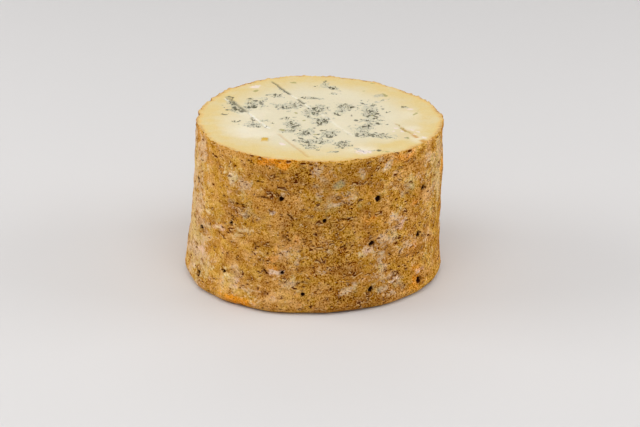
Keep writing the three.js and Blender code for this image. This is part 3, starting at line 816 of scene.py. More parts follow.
    def coat(self, x: Array, y: Array) -> CutCoat:
        """Works out relief and colours for points of the cut face.

        Args:
            x: How far right of the middle the points are.
            y: How far behind the middle the points are.

        Returns:
            The coat at each point.
        """
        flat = np.stack([x, y, np.zeros_like(x)], axis=1)
        push_x, push_y = (push.at(flat) for push in self.pushes)
        pushed = x + push_x, y + push_y
        spreads = {Mould.GREY: self.haze_spread}
        moulds = {kind: self._marks(*pushed, self.marks[kind], spreads.get(kind, 1)) for kind in Mould}
        pocket = self._marks(*pushed, self.pockets)
        moulds[Mould.GREY] = np.maximum(moulds[Mould.GREY], pocket)
        moulds[Mould.BLUE] = np.maximum(moulds[Mould.BLUE], pocket - self.pocket_shade)
        sunk = smooth_step(*self.pocket_wall, pocket)
        relief = -self.pocket_depth * sunk
        relief -= self.mark_depth * smooth_step(*self.mark_wall, moulds[Mould.BLUE]) * (1 - sunk)
        groove, channels = self._channels(x, y, flat)
        relief = np.minimum(relief, groove) + self.grain.at(flat)
        milk = self._bells(x, y, flat, self.milk)
        butter = self._bells(x, y, flat, self.butter)
        left, back, half_x, half_y, rise = self.crumb
        across = np.abs(x - left + self.crumb_fray * push_x) / half_x
        along = np.abs(y - back + self.crumb_fray * push_y) / half_y
        crumb = 1 - smooth_step(*self.crumb_wall, np.maximum(across, along))
        return CutCoat(relief + rise * crumb, moulds, channels, milk, butter, crumb)

    def _marks(self, x: Array, y: Array, marks: Patches, spread: float = 1) -> Array:
        """Lays mould marks: turned ellipses.

        Args:
            x: How far right of the middle the points are, pushed about by noise.
            y: How far behind the middle the points are, pushed about by noise.
            marks: Middle, length, width and heading of each mark.
            spread: Factor on the marks' size.

        Returns:
            The nearness to a mark: 1 less half the reach, where the reach is 1 on the edge.
        """
        nearest = np.zeros(len(x))
        for left, back, length, width, heading in marks:
            along, across = turned(x - left, y - back, heading)
            reach = np.hypot(along / (length / 2), across / (width / 2)) / spread
            nearest = np.maximum(nearest, 1 - 0.5 * reach)
        return nearest

    def _channels(self, x: Array, y: Array, flat: Array) -> tuple[Array, dict[Channel, Array]]:
        """Opens the needle channels: straight grooves with soft walls that fade out at both ends.

        Args:
            x: How far right of the middle the points are.
            y: How far behind the middle the points are.
            flat: The same points, as rows of three.

        Returns:
            The grooves' relief, 0 or below, and the strength of each look.
        """
        relief = np.zeros(len(x))
        looks = {look: np.zeros(len(x)) for look in Channel}
        waver = self.channel_waver.at(flat)
        along, across = turned(x, y, self.channel_heading)
        for offset, start, end, width, depth, strength, look in self.channels:
            middle = (start + end) / 2
            ends = 1 - smooth_step(*self.channel_ends, np.abs(along - middle) / (end - middle))
            aside = np.abs(across - offset + waver) / (width / 2)
            groove = ends * (1 - smooth_step(*self.channel_walls, aside))
            relief = np.minimum(relief, -depth * groove)
            looks[look] = np.maximum(looks[look], strength * groove)
        return relief, looks

    def _bells(self, x: Array, y: Array, flat: Array, bells: Patches) -> Array:
        """Lays patches of tone: soft bells exp(-d²) whose outlines are pushed about by noise.

        Args:
            x: How far right of the middle the points are.
            y: How far behind the middle the points are.
            flat: The same points, as rows of three.
            bells: Middle, half lengths and strength of each patch.

        Returns:
            The strength at each point, from 0 to 1.
        """
        push = self.bell_push.at(flat)
        bare = np.ones(len(x))
        for left, back, half_x, half_y, strength in bells:
            nearness = np.exp(-(((x - left + push) / half_x) ** 2) - ((y - back + push) / half_y) ** 2)
            bare *= 1 - strength * nearness
        return 1 - bare


@dataclass
class NodeBoard:
    """A material's nodes, with short ways to add and join them.

    Attributes:
        tree: The material's node tree.
        cloud_roughness: Strength of each finer layer of a noise, as a share of the one before.
        smallest_spot: Least half width of a spot, so that nothing is divided by 0.
        line_core: Share of a line's half width in which it is full.
        thread_edge: Share of a thread's half width in which it fades.
    """

    tree: bpy.types.NodeTree
    cloud_roughness: float = 0.6
    smallest_spot: float = 0.001
    line_core: float = 0.4
    thread_edge: float = 0.35

    def feed(self, socket: Socket, value: object) -> None:
        """Links a socket to an output, or sets it to a number, a vector or a colour."""
        if isinstance(value, Socket):
            self.tree.links.new(value, socket)
        elif isinstance(value, tuple) and socket.type == "RGBA":
            socket.default_value = (*value, 1)
        else:
            socket.default_value = value

    def place(self) -> Socket:
        """Returns the piece's own coordinates, in metres."""
        return self.tree.nodes.new("ShaderNodeTexCoord").outputs["Object"]

    def mapped(self, place: Socket, scale: Triple = (1, 1, 1), offset: Triple = (0, 0, 0)) -> Socket:
        """Scales coordinates along each axis, then moves them by an offset in metres."""
        node = self.tree.nodes.new("ShaderNodeMapping")
        for name, value in (("Vector", place), ("Location", offset), ("Scale", scale)):
            self.feed(node.inputs[name], value)
        return node.outputs["Vector"]

    def split(self, vector: Socket) -> list[Socket]:
        """Splits a vector or a colour into its three channels."""
        node = self.tree.nodes.new("ShaderNodeSeparateXYZ")
        self.feed(node.inputs[0], vector)
        return list(node.outputs)

    def painted(self, name: str) -> list[Socket]:
        """Returns the three channels of a painted attribute."""
        node = self.tree.nodes.new("ShaderNodeAttribute")
        node.attribute_name = name
        return self.split(node.outputs["Vector"])

    def _clouds(self, place: Socket, wavelength: float, detail: float) -> bpy.types.Node:
        """Adds a noise node of a wavelength in millimetres, with a number of finer layers."""
        node = self.tree.nodes.new("ShaderNodeTexNoise")
        self.feed(node.inputs["Vector"], place)
        node.inputs["Scale"].default_value = 1 / (wavelength * MM)
        node.inputs["Detail"].default_value = detail
        return node

    def noise(self, place: Socket, wavelength: float, detail: float, twist: float) -> Socket:
        """Adds cloudy noise.

        Args:
            place: Coordinates in metres.
            wavelength: Size of the largest clouds, in millimetres.
            detail: Number of finer layers.
            twist: How far the clouds are swirled, as a share of their size.

        Returns:
            The noise, about 0.5 on average.
        """
        node = self._clouds(place, wavelength, detail)
        node.inputs["Roughness"].default_value = self.cloud_roughness
        node.inputs["Distortion"].default_value = twist
        return node.outputs[0]

    def warped(self, place: Socket, wavelength: float, reach: float) -> Socket:
        """Pushes coordinates about by noise.

        Args:
            place: Coordinates in metres.
            wavelength: Size of the clouds that push, in millimetres.
            reach: Span of the push along each axis, in millimetres.

        Returns:
            The pushed coordinates.
        """
        push = self.tree.nodes.new("ShaderNodeVectorMath")
        push.operation = "MULTIPLY_ADD"
        clouds = self._clouds(place, wavelength, 1).outputs["Color"]
        for socket, value in zip(push.inputs, (clouds, (reach * MM,) * 3, place)):
            self.feed(socket, value)
        return push.outputs["Vector"]

    def strokes(self, place: Socket, pitch: float, least: float, most: float) -> Socket:
        """Scatters spots, one to a cell: 1 at a spot's middle and below 0 off it.

        Args:
            place: Coordinates in metres.
            pitch: Mean distance from spot to spot, in millimetres.
            least: Half width of the smallest spots, as a share of the pitch; below 0 some cells have none.
            most: Half width of the largest spots, as a share of the pitch.

        Returns:
            One less the reach from the spot's middle, where the reach is 1 on its edge.
        """
        node = self.tree.nodes.new("ShaderNodeTexVoronoi")
        self.feed(node.inputs["Vector"], place)
        node.inputs["Scale"].default_value = 1 / (pitch * MM)
        half = self.scaled(self.split(node.outputs["Color"])[0], most - least, least)
        half = self.larger(half, self.smallest_spot)
        return self.less(1.0, self.maths("DIVIDE", node.outputs["Distance"], half))

    def ramp(self, value: Socket, low: float, high: float) -> Socket:
        """Ramps a value smoothly from 0 at low to 1 at high."""
        node = self.tree.nodes.new("ShaderNodeMapRange")
        node.interpolation_type = "SMOOTHSTEP"
        self.feed(node.inputs["Value"], value)
        node.inputs["From Min"].default_value = min(low, high)
        node.inputs["From Max"].default_value = max(low, high)
        node.inputs["To Min"].default_value = float(low > high)
        node.inputs["To Max"].default_value = float(low < high)
        return node.outputs["Result"]

    def maths(self, operation: str, *terms: object) -> Socket:
        """Adds one sum of up to three numbers."""
        node = self.tree.nodes.new("ShaderNodeMath")
        node.operation = operation
        for socket, value in zip(node.inputs, terms):
            self.feed(socket, value)
        return node.outputs[0]

    def plus(self, first: object, second: object) -> Socket:
        """Adds two numbers."""
        return self.maths("ADD", first, second)

    def less(self, first: object, second: object) -> Socket:
        """Takes a second number from a first."""
        return self.maths("SUBTRACT", first, second)

    def times(self, first: object, second: object) -> Socket:
        """Multiplies two numbers."""
        return self.maths("MULTIPLY", first, second)

    def larger(self, first: object, second: object) -> Socket:
        """Takes the larger of two numbers."""
        return self.maths("MAXIMUM", first, second)

    def scaled(self, value: Socket, factor: object, offset: object) -> Socket:
        """Multiplies a number by a factor and adds an offset."""
        return self.maths("MULTIPLY_ADD", value, factor, offset)

    def _blend(self, kind: str, factor: object, first: object, second: object) -> bpy.types.Node:
        """Adds a node that blends two colours in one of Blender's ways."""
        node = self.tree.nodes.new("ShaderNodeMix")
        node.data_type = "RGBA"
        node.blend_type = kind
        for number, value in zip(MIX_INPUTS, (factor, first, second)):
            self.feed(node.inputs[number], value)
        return node

    def mix(self, factor: Socket, first: object, second: object) -> Socket:
        """Blends from a first colour to a second by a factor from 0 to 1."""
        return self._blend("MIX", factor, first, second).outputs[MIX_OUTPUT]

    def shaded(self, colour: Socket, factor: Socket) -> Socket:
        """Multiplies a colour by another, channel by channel."""
        return self._blend("MULTIPLY", 1.0, colour, factor).outputs[MIX_OUTPUT]

    def dusted(self, colour: Socket, dust: Colour, amount: Socket) -> Socket:
        """Adds an amount of a dust colour, above or below 0, to a colour."""
        node = self._blend("ADD", amount, colour, dust)
        node.clamp_factor = False
        node.clamp_result = True
        return node.outputs[MIX_OUTPUT]

    def off_middle(self, noise: Socket) -> Socket:
        """Measures how far a noise is from its middle, either way."""
        return self.maths("ABSOLUTE", self.less(noise, 0.5))

    def lines(self, noise: Socket, half_width: float) -> Socket:
        """Draws thin wandering lines: 1 where a noise crosses its middle, 0 at a half width either side."""
        return self.ramp(self.off_middle(noise), half_width, self.line_core * half_width)

    def thread(self, noise: Socket, kept: Socket, half_width: float) -> Socket:
        """Draws a wandering line where a noise crosses its middle, as wide as a share up to 1 keeps it."""
        inside = self.less(self.times(kept, half_width), self.off_middle(noise))
        return self.ramp(inside, 0.0, self.thread_edge * half_width)

    def bump(self, height: Socket, depth: float, strength: float) -> Socket:
        """Turns a height from 0 to 1 into a normal, over a depth in millimetres."""
        node = self.tree.nodes.new("ShaderNodeBump")
        self.feed(node.inputs["Height"], height)
        node.inputs["Distance"].default_value = depth * MM
        node.inputs["Strength"].default_value = strength
        return node.outputs["Normal"]


def new_material(name: str) -> tuple[bpy.types.Material, bpy.types.Node]:
    """Makes a material with nodes, and returns it with its shader."""
    material = bpy.data.materials.new(name)
    material.use_nodes = True
    return material, material.node_tree.nodes["Principled BSDF"]


def settle(shader: bpy.types.Node, values: dict[str, object]) -> None:
    """Sets the sockets of a shader that are the same all over."""
    for name, value in values.items():
        shader.inputs[name].default_value = value


class Trace(Enum):
    """Painted fields that aren't tints, moulds or channels."""

    PIT = "pit"
    CREASE = "crease"
    HALO = "halo"
    EDGE = "edge"
    MILK = "milk"
    CRUMB = "crumb"


class Paint(Enum):
    """Painted attributes of the mesh: name, and what the channels hold."""

    RIND_TINTS = ("rind_tints", (Tint.AMBER, Tint.UMBER, Tint.BLOOM))
    RIND_MARKS = ("rind_marks", (Trace.PIT, Trace.CREASE, Tint.PALE))
    RIND_MOULDS = ("rind_moulds", (Tint.ROSE, Tint.MOSS, Tint.CHALK))
    PASTE_TONES = ("paste_tones", (Trace.HALO, Trace.EDGE, Trace.MILK))
    MOULD_MARKS = ("mould_marks", (Mould.GREY, Mould.BLUE, Mould.OLIVE))
    CHANNEL_MARKS = ("channel_marks", (Channel.MOULDED, Channel.CLEAN, Channel.OCHRE))
    STRAY_MARKS = ("stray_marks", (Mould.LILAC, Trace.CRUMB))


class Place(Enum):
    """Coordinates that noises follow; all but the plain ones are moved, scaled or both."""

    PLAIN = "plain"
    LEVEL = "level"
    ASIDE = "aside"
    BEYOND = "beyond"
    VEINED = "veined"


class RindClouds(Enum):
    """Noises of the rind: coordinates, wavelength in millimetres, number of finer layers and twist."""

    BROAD = (Place.LEVEL, 20, 3, 0)
    MIDDLE = (Place.LEVEL, 6, 1.5, 0)
    FINE = (Place.PLAIN, 1.2, 2, 0)
    SPECKS = (Place.ASIDE, 2.6, 2, 0.8)
    CLUMPS = (Place.BEYOND, 6, 2, 0)
    DRIFT = (Place.BEYOND, 11, 2, 0)
    SAND = (Place.PLAIN, 0.65, 0, 0)
    FLAKE = (Place.BEYOND, 3.2, 2, 0.6)


class PasteClouds(Enum):
    """Noises of the paste: coordinates, wavelength in millimetres, number of finer layers and twist."""

    SOFT = (Place.PLAIN, 12, 3, 0)
    GRAIN = (Place.PLAIN, 1.6, 3, 0)
    SPOTS = (Place.PLAIN, 2.6, 2, 0)
    SAND = (Place.PLAIN, 0.6, 0, 0)
    LACE = (Place.VEINED, 3.8, 1, 0.9)
    FINE_LACE = (Place.VEINED, 2.4, 1, 0.9)


class Fray(Enum):
    """How a tint's edge is frayed: noises with their weights, then where the tint starts and is full."""

    SOFT = (((RindClouds.MIDDLE, 1.3), (RindClouds.SPECKS, 0.4), (RindClouds.FINE, 0.2)), (0.20, 0.85))
    CRISP = (((RindClouds.MIDDLE, 1.0), (RindClouds.SPECKS, 1.3), (RindClouds.FINE, 0.7)), (0.30, 0.72))


@dataclass
class Ground:
    """What the layers of a material share, as node outputs.

    Attributes:
        board: The material's nodes.
        places: Its coordinates.
        clouds: Its noises.
        traces: Its painted fields.
    """

    board: NodeBoard
    places: dict[Place, Socket]
    clouds: dict[Enum, Socket]
    traces: dict[Enum, Socket]

    @classmethod
    def laid(
        cls, board: NodeBoard, places: dict[Place, Socket], clouds: type[Enum], paints: tuple[Paint, ...]
    ) -> Ground:
        """Adds noises and painted fields.

        Args:
            board: The material's nodes.
            places: Its coordinates.
            clouds: The noises that it needs.
            paints: The painted attributes that it reads.

        Returns:
            What the layers share.
        """
        noises, traces = {}, {}
        for kind in clouds:
            place, *look = kind.value
            noises[kind] = board.noise(places[place], *look)
        for paint in paints:
            name, kinds = paint.value
            traces.update(zip(kinds, board.painted(name)))
        return cls(board, places, noises, traces)

    def ragged(self, weights: Weights) -> Socket:
        """Sums noises about their middles, each by its weight, to roughen an edge."""
        terms = [self.board.scaled(self.clouds[kind], weight, -0.5 * weight) for kind, weight in weights]
        return functools.reduce(self.board.plus, terms)

    def frayed(self, near: Socket, weights: Weights, span: Span) -> Socket:
        """Ramps a field over a span, with its edge roughened by noises."""
        return self.board.ramp(self.board.plus(near, self.ragged(weights)), *span)

    def blended(self, weights: Weights) -> Socket:
        """Sums two noises, each by its weight."""
        (first, much), (second, little) = weights
        return self.board.scaled(self.clouds[first], much, self.board.times(self.clouds[second], little))


@dataclass(frozen=True)
class RindFinish:
    """Dry, sandy rind: mottled ochre with amber, brown, grey-white and pink patches, dark marks and holes.

    A span holds the values at which something starts and is full, and most is a greatest strength. A gain is
    what a field adds and what there is without it. Weights pair noises with their strengths. A push is the
    wavelength and the reach of noise that bends coordinates. The offsets aside and beyond are metres.

    Attributes:
        layers: The tints as they are laid, with colour, greatest strength and fraying.
        drifts: Factors on the colour, between which its hue drifts.
        crumbs, dots: Pitch of each set, and half widths of the smallest and largest as shares of it.
        dot_spans: Spans of a dot's open part, of the painted highlight on its lower lip and of its stain.
        thread_spans: Spans of a thread and its stain.
        threads: Wavelength, half width as a share of its noise, and pitch of the patches of each set.
        thread_patch: Half widths of the smallest and largest patches, as shares of the pitch.
        thread_spreads: Widths of a thread's painted highlight below it and of its stain, as factors on its
            own.
        highlight_drops: How far below a dot and a thread the painted highlights on their lower lips lie.
        bump: Depth and strength of the bump.
    """

    brown: Colour = (0.33, 0.140, 0.027)
    golden: Colour = (0.575, 0.292, 0.054)
    tan: Colour = (0.70, 0.420, 0.130)
    ground_weights: Weights = ((RindClouds.MIDDLE, 0.6), (RindClouds.BROAD, 0.4))
    golden_span: Span = (0.20, 0.54)
    tan_span: Span = (0.42, 0.78)
    layers: tuple[tuple[Tint, Colour, float, Fray], ...] = (
        # The pale tan layer is painted light.
        (Tint.PALE, (0.80, 0.48, 0.165), 0.8, Fray.SOFT),
        (Tint.UMBER, (0.21, 0.074, 0.006), 0.5, Fray.SOFT),
        (Tint.AMBER, (0.86, 0.34, 0.030), 0.9, Fray.SOFT),
        (Tint.MOSS, (0.50, 0.42, 0.250), 0.8, Fray.SOFT),
        (Tint.BLOOM, (0.68, 0.49, 0.260), 0.68, Fray.CRISP),
        (Tint.ROSE, (0.80, 0.52, 0.35), 0.60, Fray.CRISP),
        (Tint.CHALK, (0.86, 0.66, 0.42), 0.85, Fray.CRISP),
    )
    drifts: tuple[Colour, Colour] = ((1.02, 0.97, 1.08), (1.01, 0.99, 0.74))
    drift_span: Span = (0.40, 0.60)
    dust: Colour = (0.60, 0.40, 0.165)
    dust_weights: Weights = ((RindClouds.SAND, 0.4), (RindClouds.FINE, 0.5))
    dry_side: Span = (-60, 10)
    dry_span: Span = (0.25, 0.60)
    crumb_push: Span = (1.5, 1.2)
    crumbs: Triple = (1.7, 0.45, 0.95)
    crumb_middle: float = 0.40
    crumb_gain: Span = (0.30, 0.05)
    grit_span: Span = (0.15, 0.60)
    grit_middle: float = 0.80
    grit_gain: Span = (0.40, 0.30)
    mark_squash: Triple = (1, 1, 1.7)
    mark_push: Span = (3, 2.2)
    dots: tuple[Triple, ...] = ((3.8, -0.60, 0.42), (2.6, -1.00, 0.38))
    dot_spans: tuple[Span, ...] = ((-0.10, 0.20), (-0.10, 0.35), (-0.90, 0.40))
    dot_weights: Weights = ((RindClouds.FINE, 0.6), (RindClouds.CLUMPS, 2.4))
    dot_loss: float = 0.36
    threads: tuple[Triple, ...] = ((4.5, 0.038, 5.0), (8.0, 0.027, 9.0))
    thread_patch: Span = (-0.75, 0.60)
    thread_noise: Span = (2, 0.5)
    thread_weights: Weights = ((RindClouds.CLUMPS, 1.6), (RindClouds.FINE, 1.2))
    thread_umber: float = 0.35
    thread_spans: tuple[Span, Span] = ((0.0, 0.6), (-0.5, 0.5))
    thread_spreads: Span = (1.5, 6)
    highlight_drops: Span = (0.8, 0.9)
    fur_span: Span = (0.35, 0.80)
    stain: Colour = (0.33, 0.117, 0.010)
    stain_most: float = 0.45
    # Painted highlight on the lower lips of the dark marks, as if lit from above.
    lip_highlight: Colour = (0.88, 0.61, 0.28)
    lip_highlight_most: float = 0.50
    flake: Colour = (0.86, 0.66, 0.42)
    flake_most: float = 0.38
    flake_weights: Weights = ((RindClouds.CLUMPS, -0.6), (RindClouds.SPECKS, 0.8), (RindClouds.FINE, 0.5))
    flake_bloom: float = 0.22
    flake_span: Span = (0.13, 0.18)
    flake_half_width: float = 0.060
    # Dark red-brown of marks and cracks: partly the crust's own brown, partly painted shade in the cracks and
    # under its small chips.
    crack: Colour = (0.12, 0.022, 0.0003)
    crack_weights: Weights = ((RindClouds.FINE, 1.0), (RindClouds.SPECKS, 0.8))
    crack_span: Span = (0.45, 0.75)
    deep_span: Span = (0.38, 0.62)
    deep_gain: Span = (0.20, 0.80)
    # Darker brown ring round each open hole, full a little past its edge and gone at twice its radius.
    hole_ring: Colour = (0.21, 0.074, 0.006)
    hole_ring_span: Span = (0.0, 0.4)
    hole_ring_most: float = 0.35
    # Near black of the open holes: partly dark mould, partly painted shade deep inside them.
    hole: Colour = (0.030, 0.009, 0.005)
    hole_weights: Weights = ((RindClouds.FINE, 0.15),)
    hole_span: Span = (0.37, 0.47)
    squash: Triple = (1, 1, 1.2)
    aside: Triple = (0.3, 0.2, 0.1)
    beyond: Triple = (-0.2, 0.4, 0.3)
    height_weights: Weights = ((RindClouds.MIDDLE, 0.5), (RindClouds.FINE, 0.35))
    mark_sink: float = 0.45
    bump: Span = (1.8, 0.7)
    roughness: float = 0.88
    specular: float = 0.0

    def material(self) -> bpy.types.Material:
        """Builds the rind's material.

        Returns:
            The material, which reads the painted rind attributes and Object coordinates.
        """
        material, shader = new_material("rind")
        board = NodeBoard(material.node_tree)
        plain = board.place()
        level = board.mapped(plain, scale=self.squash)
        places = {Place.PLAIN: plain, Place.LEVEL: level}
        places[Place.ASIDE] = board.mapped(level, offset=self.aside)
        places[Place.BEYOND] = board.mapped(level, offset=self.beyond)
        paints = (Paint.RIND_TINTS, Paint.RIND_MARKS, Paint.RIND_MOULDS)
        ground = Ground.laid(board, places, RindClouds, paints)
        dark, lip_highlight, stain = self._marks(ground)
        colour = self._sanded(ground, self._mottled(ground))
        colour = board.mix(board.times(stain, self.stain_most), colour, self.stain)
        # Painted highlight on the lower lips of the marks.
        colour = board.mix(board.times(lip_highlight, self.lip_highlight_most), colour, self.lip_highlight)
        colour = self._flaked(ground, stain, colour)
        colour = self._opened(ground, dark, colour)
        height = board.less(ground.blended(self.height_weights), board.times(dark, self.mark_sink))
        board.feed(shader.inputs["Base Color"], colour)
        board.feed(shader.inputs["Normal"], board.bump(height, *self.bump))
        settle(shader, {"Roughness": self.roughness, "Specular IOR Level": self.specular})
        return material

    def _mottled(self, ground: Ground) -> Socket:
        """Lays the mottled ground, then the tints, then the drift of hue.

        Args:
            ground: What the layers share.

        Returns:
            The colour.
        """
        board = ground.board
        tone = ground.blended(self.ground_weights)
        colour = board.mix(board.ramp(tone, *self.golden_span), self.brown, self.golden)
        colour = board.mix(board.ramp(tone, *self.tan_span), colour, self.tan)
        edges = {fray: ground.ragged(fray.value[0]) for fray in Fray}
        # Among the tints, the pale tan one is painted light, and some amber low on the left and umber low on
        # the front partly paint light and shade.
        for tint, shade, most, fray in self.layers:
            patchy = board.ramp(board.plus(ground.traces[tint], edges[fray]), *fray.value[1])
            colour = board.mix(board.times(patchy, most), colour, shade)
        drift = board.ramp(ground.clouds[RindClouds.DRIFT], *self.drift_span)
        return board.shaded(colour, board.mix(drift, *self.drifts))

    def _sanded(self, ground: Ground, colour: Socket) -> Socket:
        """Dusts a colour with crumbs, grit and fine noise, coarser on the dry side.

        Args:
            ground: What the layers share.
            colour: The colour so far.

        Returns:
            The dusted colour.
        """
        board = ground.board
        plain = ground.places[Place.PLAIN]
        start, full = self.dry_side
        to_right = board.ramp(board.split(plain)[0], start * MM, full * MM)
        dry = board.times(to_right, board.ramp(ground.clouds[RindClouds.BROAD], *self.dry_span))
        crumb = board.strokes(board.warped(plain, *self.crumb_push), *self.crumbs)
        crumb = board.times(board.less(crumb, self.crumb_middle), board.scaled(dry, *self.crumb_gain))
        grit = board.ramp(ground.clouds[RindClouds.SAND], *self.grit_span)
        grit = board.less(grit, self.grit_middle)
        amount = board.plus(crumb, ground.ragged(self.dust_weights))
        amount = board.scaled(board.scaled(dry, *self.grit_gain), grit, amount)
        return board.dusted(colour, self.dust, amount)

    def _marks(self, ground: Ground) -> tuple[Socket, Socket, Socket]:
        """Works out where the short dark marks are: dots, and threads that show in patches.

        Args:
            ground: What the layers share.

        Returns:
            Strengths, from 0 to 1, of the open marks, the painted highlights on their lower lips and the
            stained skin round them.
        """
        board = ground.board
        aside = ground.places[Place.ASIDE]
        bent = board.warped(board.mapped(aside, scale=self.mark_squash), *self.mark_push)
        # Copies of the marks moved down give the painted highlights on their lower lips.
        dot_drop, thread_drop = self.highlight_drops
        below_dots = board.mapped(bent, offset=(0, 0, dot_drop * MM))
        below_threads = board.mapped(aside, offset=(0, 0, thread_drop * MM))
        gathered = board.less(ground.ragged(self.dot_weights), self.dot_loss)
        sets = []
        for size in self.dots:
            near, near_highlight = (board.plus(board.strokes(at, *size), gathered) for at in (bent, below_dots))
            fields = zip((near, near_highlight, near), self.dot_spans)
            sets.append([board.ramp(nearness, *span) for nearness, span in fields])
        crowd = board.scaled(ground.traces[Tint.UMBER], self.thread_umber, ground.ragged(self.thread_weights))
        highlight_spread, stain_spread = self.thread_spreads
        for wavelength, half, pitch in self.threads:
            patch = board.plus(board.strokes(bent, pitch, *self.thread_patch), crowd)
            kept, stained = (board.ramp(patch, *span) for span in self.thread_spans)
            wander = board.noise(aside, wavelength, *self.thread_noise)
            below = board.noise(below_threads, wavelength, *self.thread_noise)
            lines = ((wander, kept, 1), (below, kept, highlight_spread), (wander, stained, stain_spread))
            sets.append([board.thread(noise, share, spread * half) for noise, share, spread in lines])
        dark, lip_highlight, stain = (functools.reduce(board.larger, strengths) for strengths in zip(*sets))
        bare = board.less(1.0, board.ramp(ground.traces[Tint.MOSS], *self.fur_span))
        return board.times(dark, bare), lip_highlight, stain

    def _flaked(self, ground: Ground, stain: Socket, colour: Socket) -> Socket:
        """Lays thin chalky flakes on a colour, clear of the stains.

        Args:
            ground: What the layers share.
            stain: Strength of the stains, from 0 to 1.
            colour: The colour so far.

        Returns:
            The flaked colour.
        """
        board = ground.board
        bloom = ground.traces[Tint.BLOOM]
        gathered = board.scaled(bloom, self.flake_bloom, ground.ragged(self.flake_weights))
        room = board.times(board.ramp(gathered, *self.flake_span), board.less(1.0, stain))
        flake = board.times(board.lines(ground.clouds[RindClouds.FLAKE], self.flake_half_width), room)
        return board.mix(board.times(flake, self.flake_most), colour, self.flake)

    def _opened(self, ground: Ground, dark: Socket, colour: Socket) -> Socket:
        """Opens marks, cracks, pits and holes in a colour; their darkness is partly painted shade.

        Args:
            ground: What the layers share.
            dark: Strength of the open marks, from 0 to 1.
            colour: The colour so far.

        Returns:
            The colour with its openings.
        """
        board = ground.board
        deep = board.scaled(board.ramp(ground.clouds[RindClouds.CLUMPS], *self.deep_span), *self.deep_gain)
        # Dark marks and cracks: dark brown, partly painted shade.
        colour = board.mix(board.times(dark, deep), colour, self.crack)
        crack = ground.frayed(ground.traces[Trace.CREASE], self.crack_weights, self.crack_span)
        colour = board.mix(crack, colour, self.crack)
        pit = ground.traces[Trace.PIT]
        # A darker brown ring round each open hole.
        colour = board.mix(board.times(board.ramp(pit, *self.hole_ring_span), self.hole_ring_most), colour, self.hole_ring)
        # Holes: near black, partly dark mould, partly painted shade inside them.
        return board.mix(ground.frayed(pit, self.hole_weights, self.hole_span), colour, self.hole)


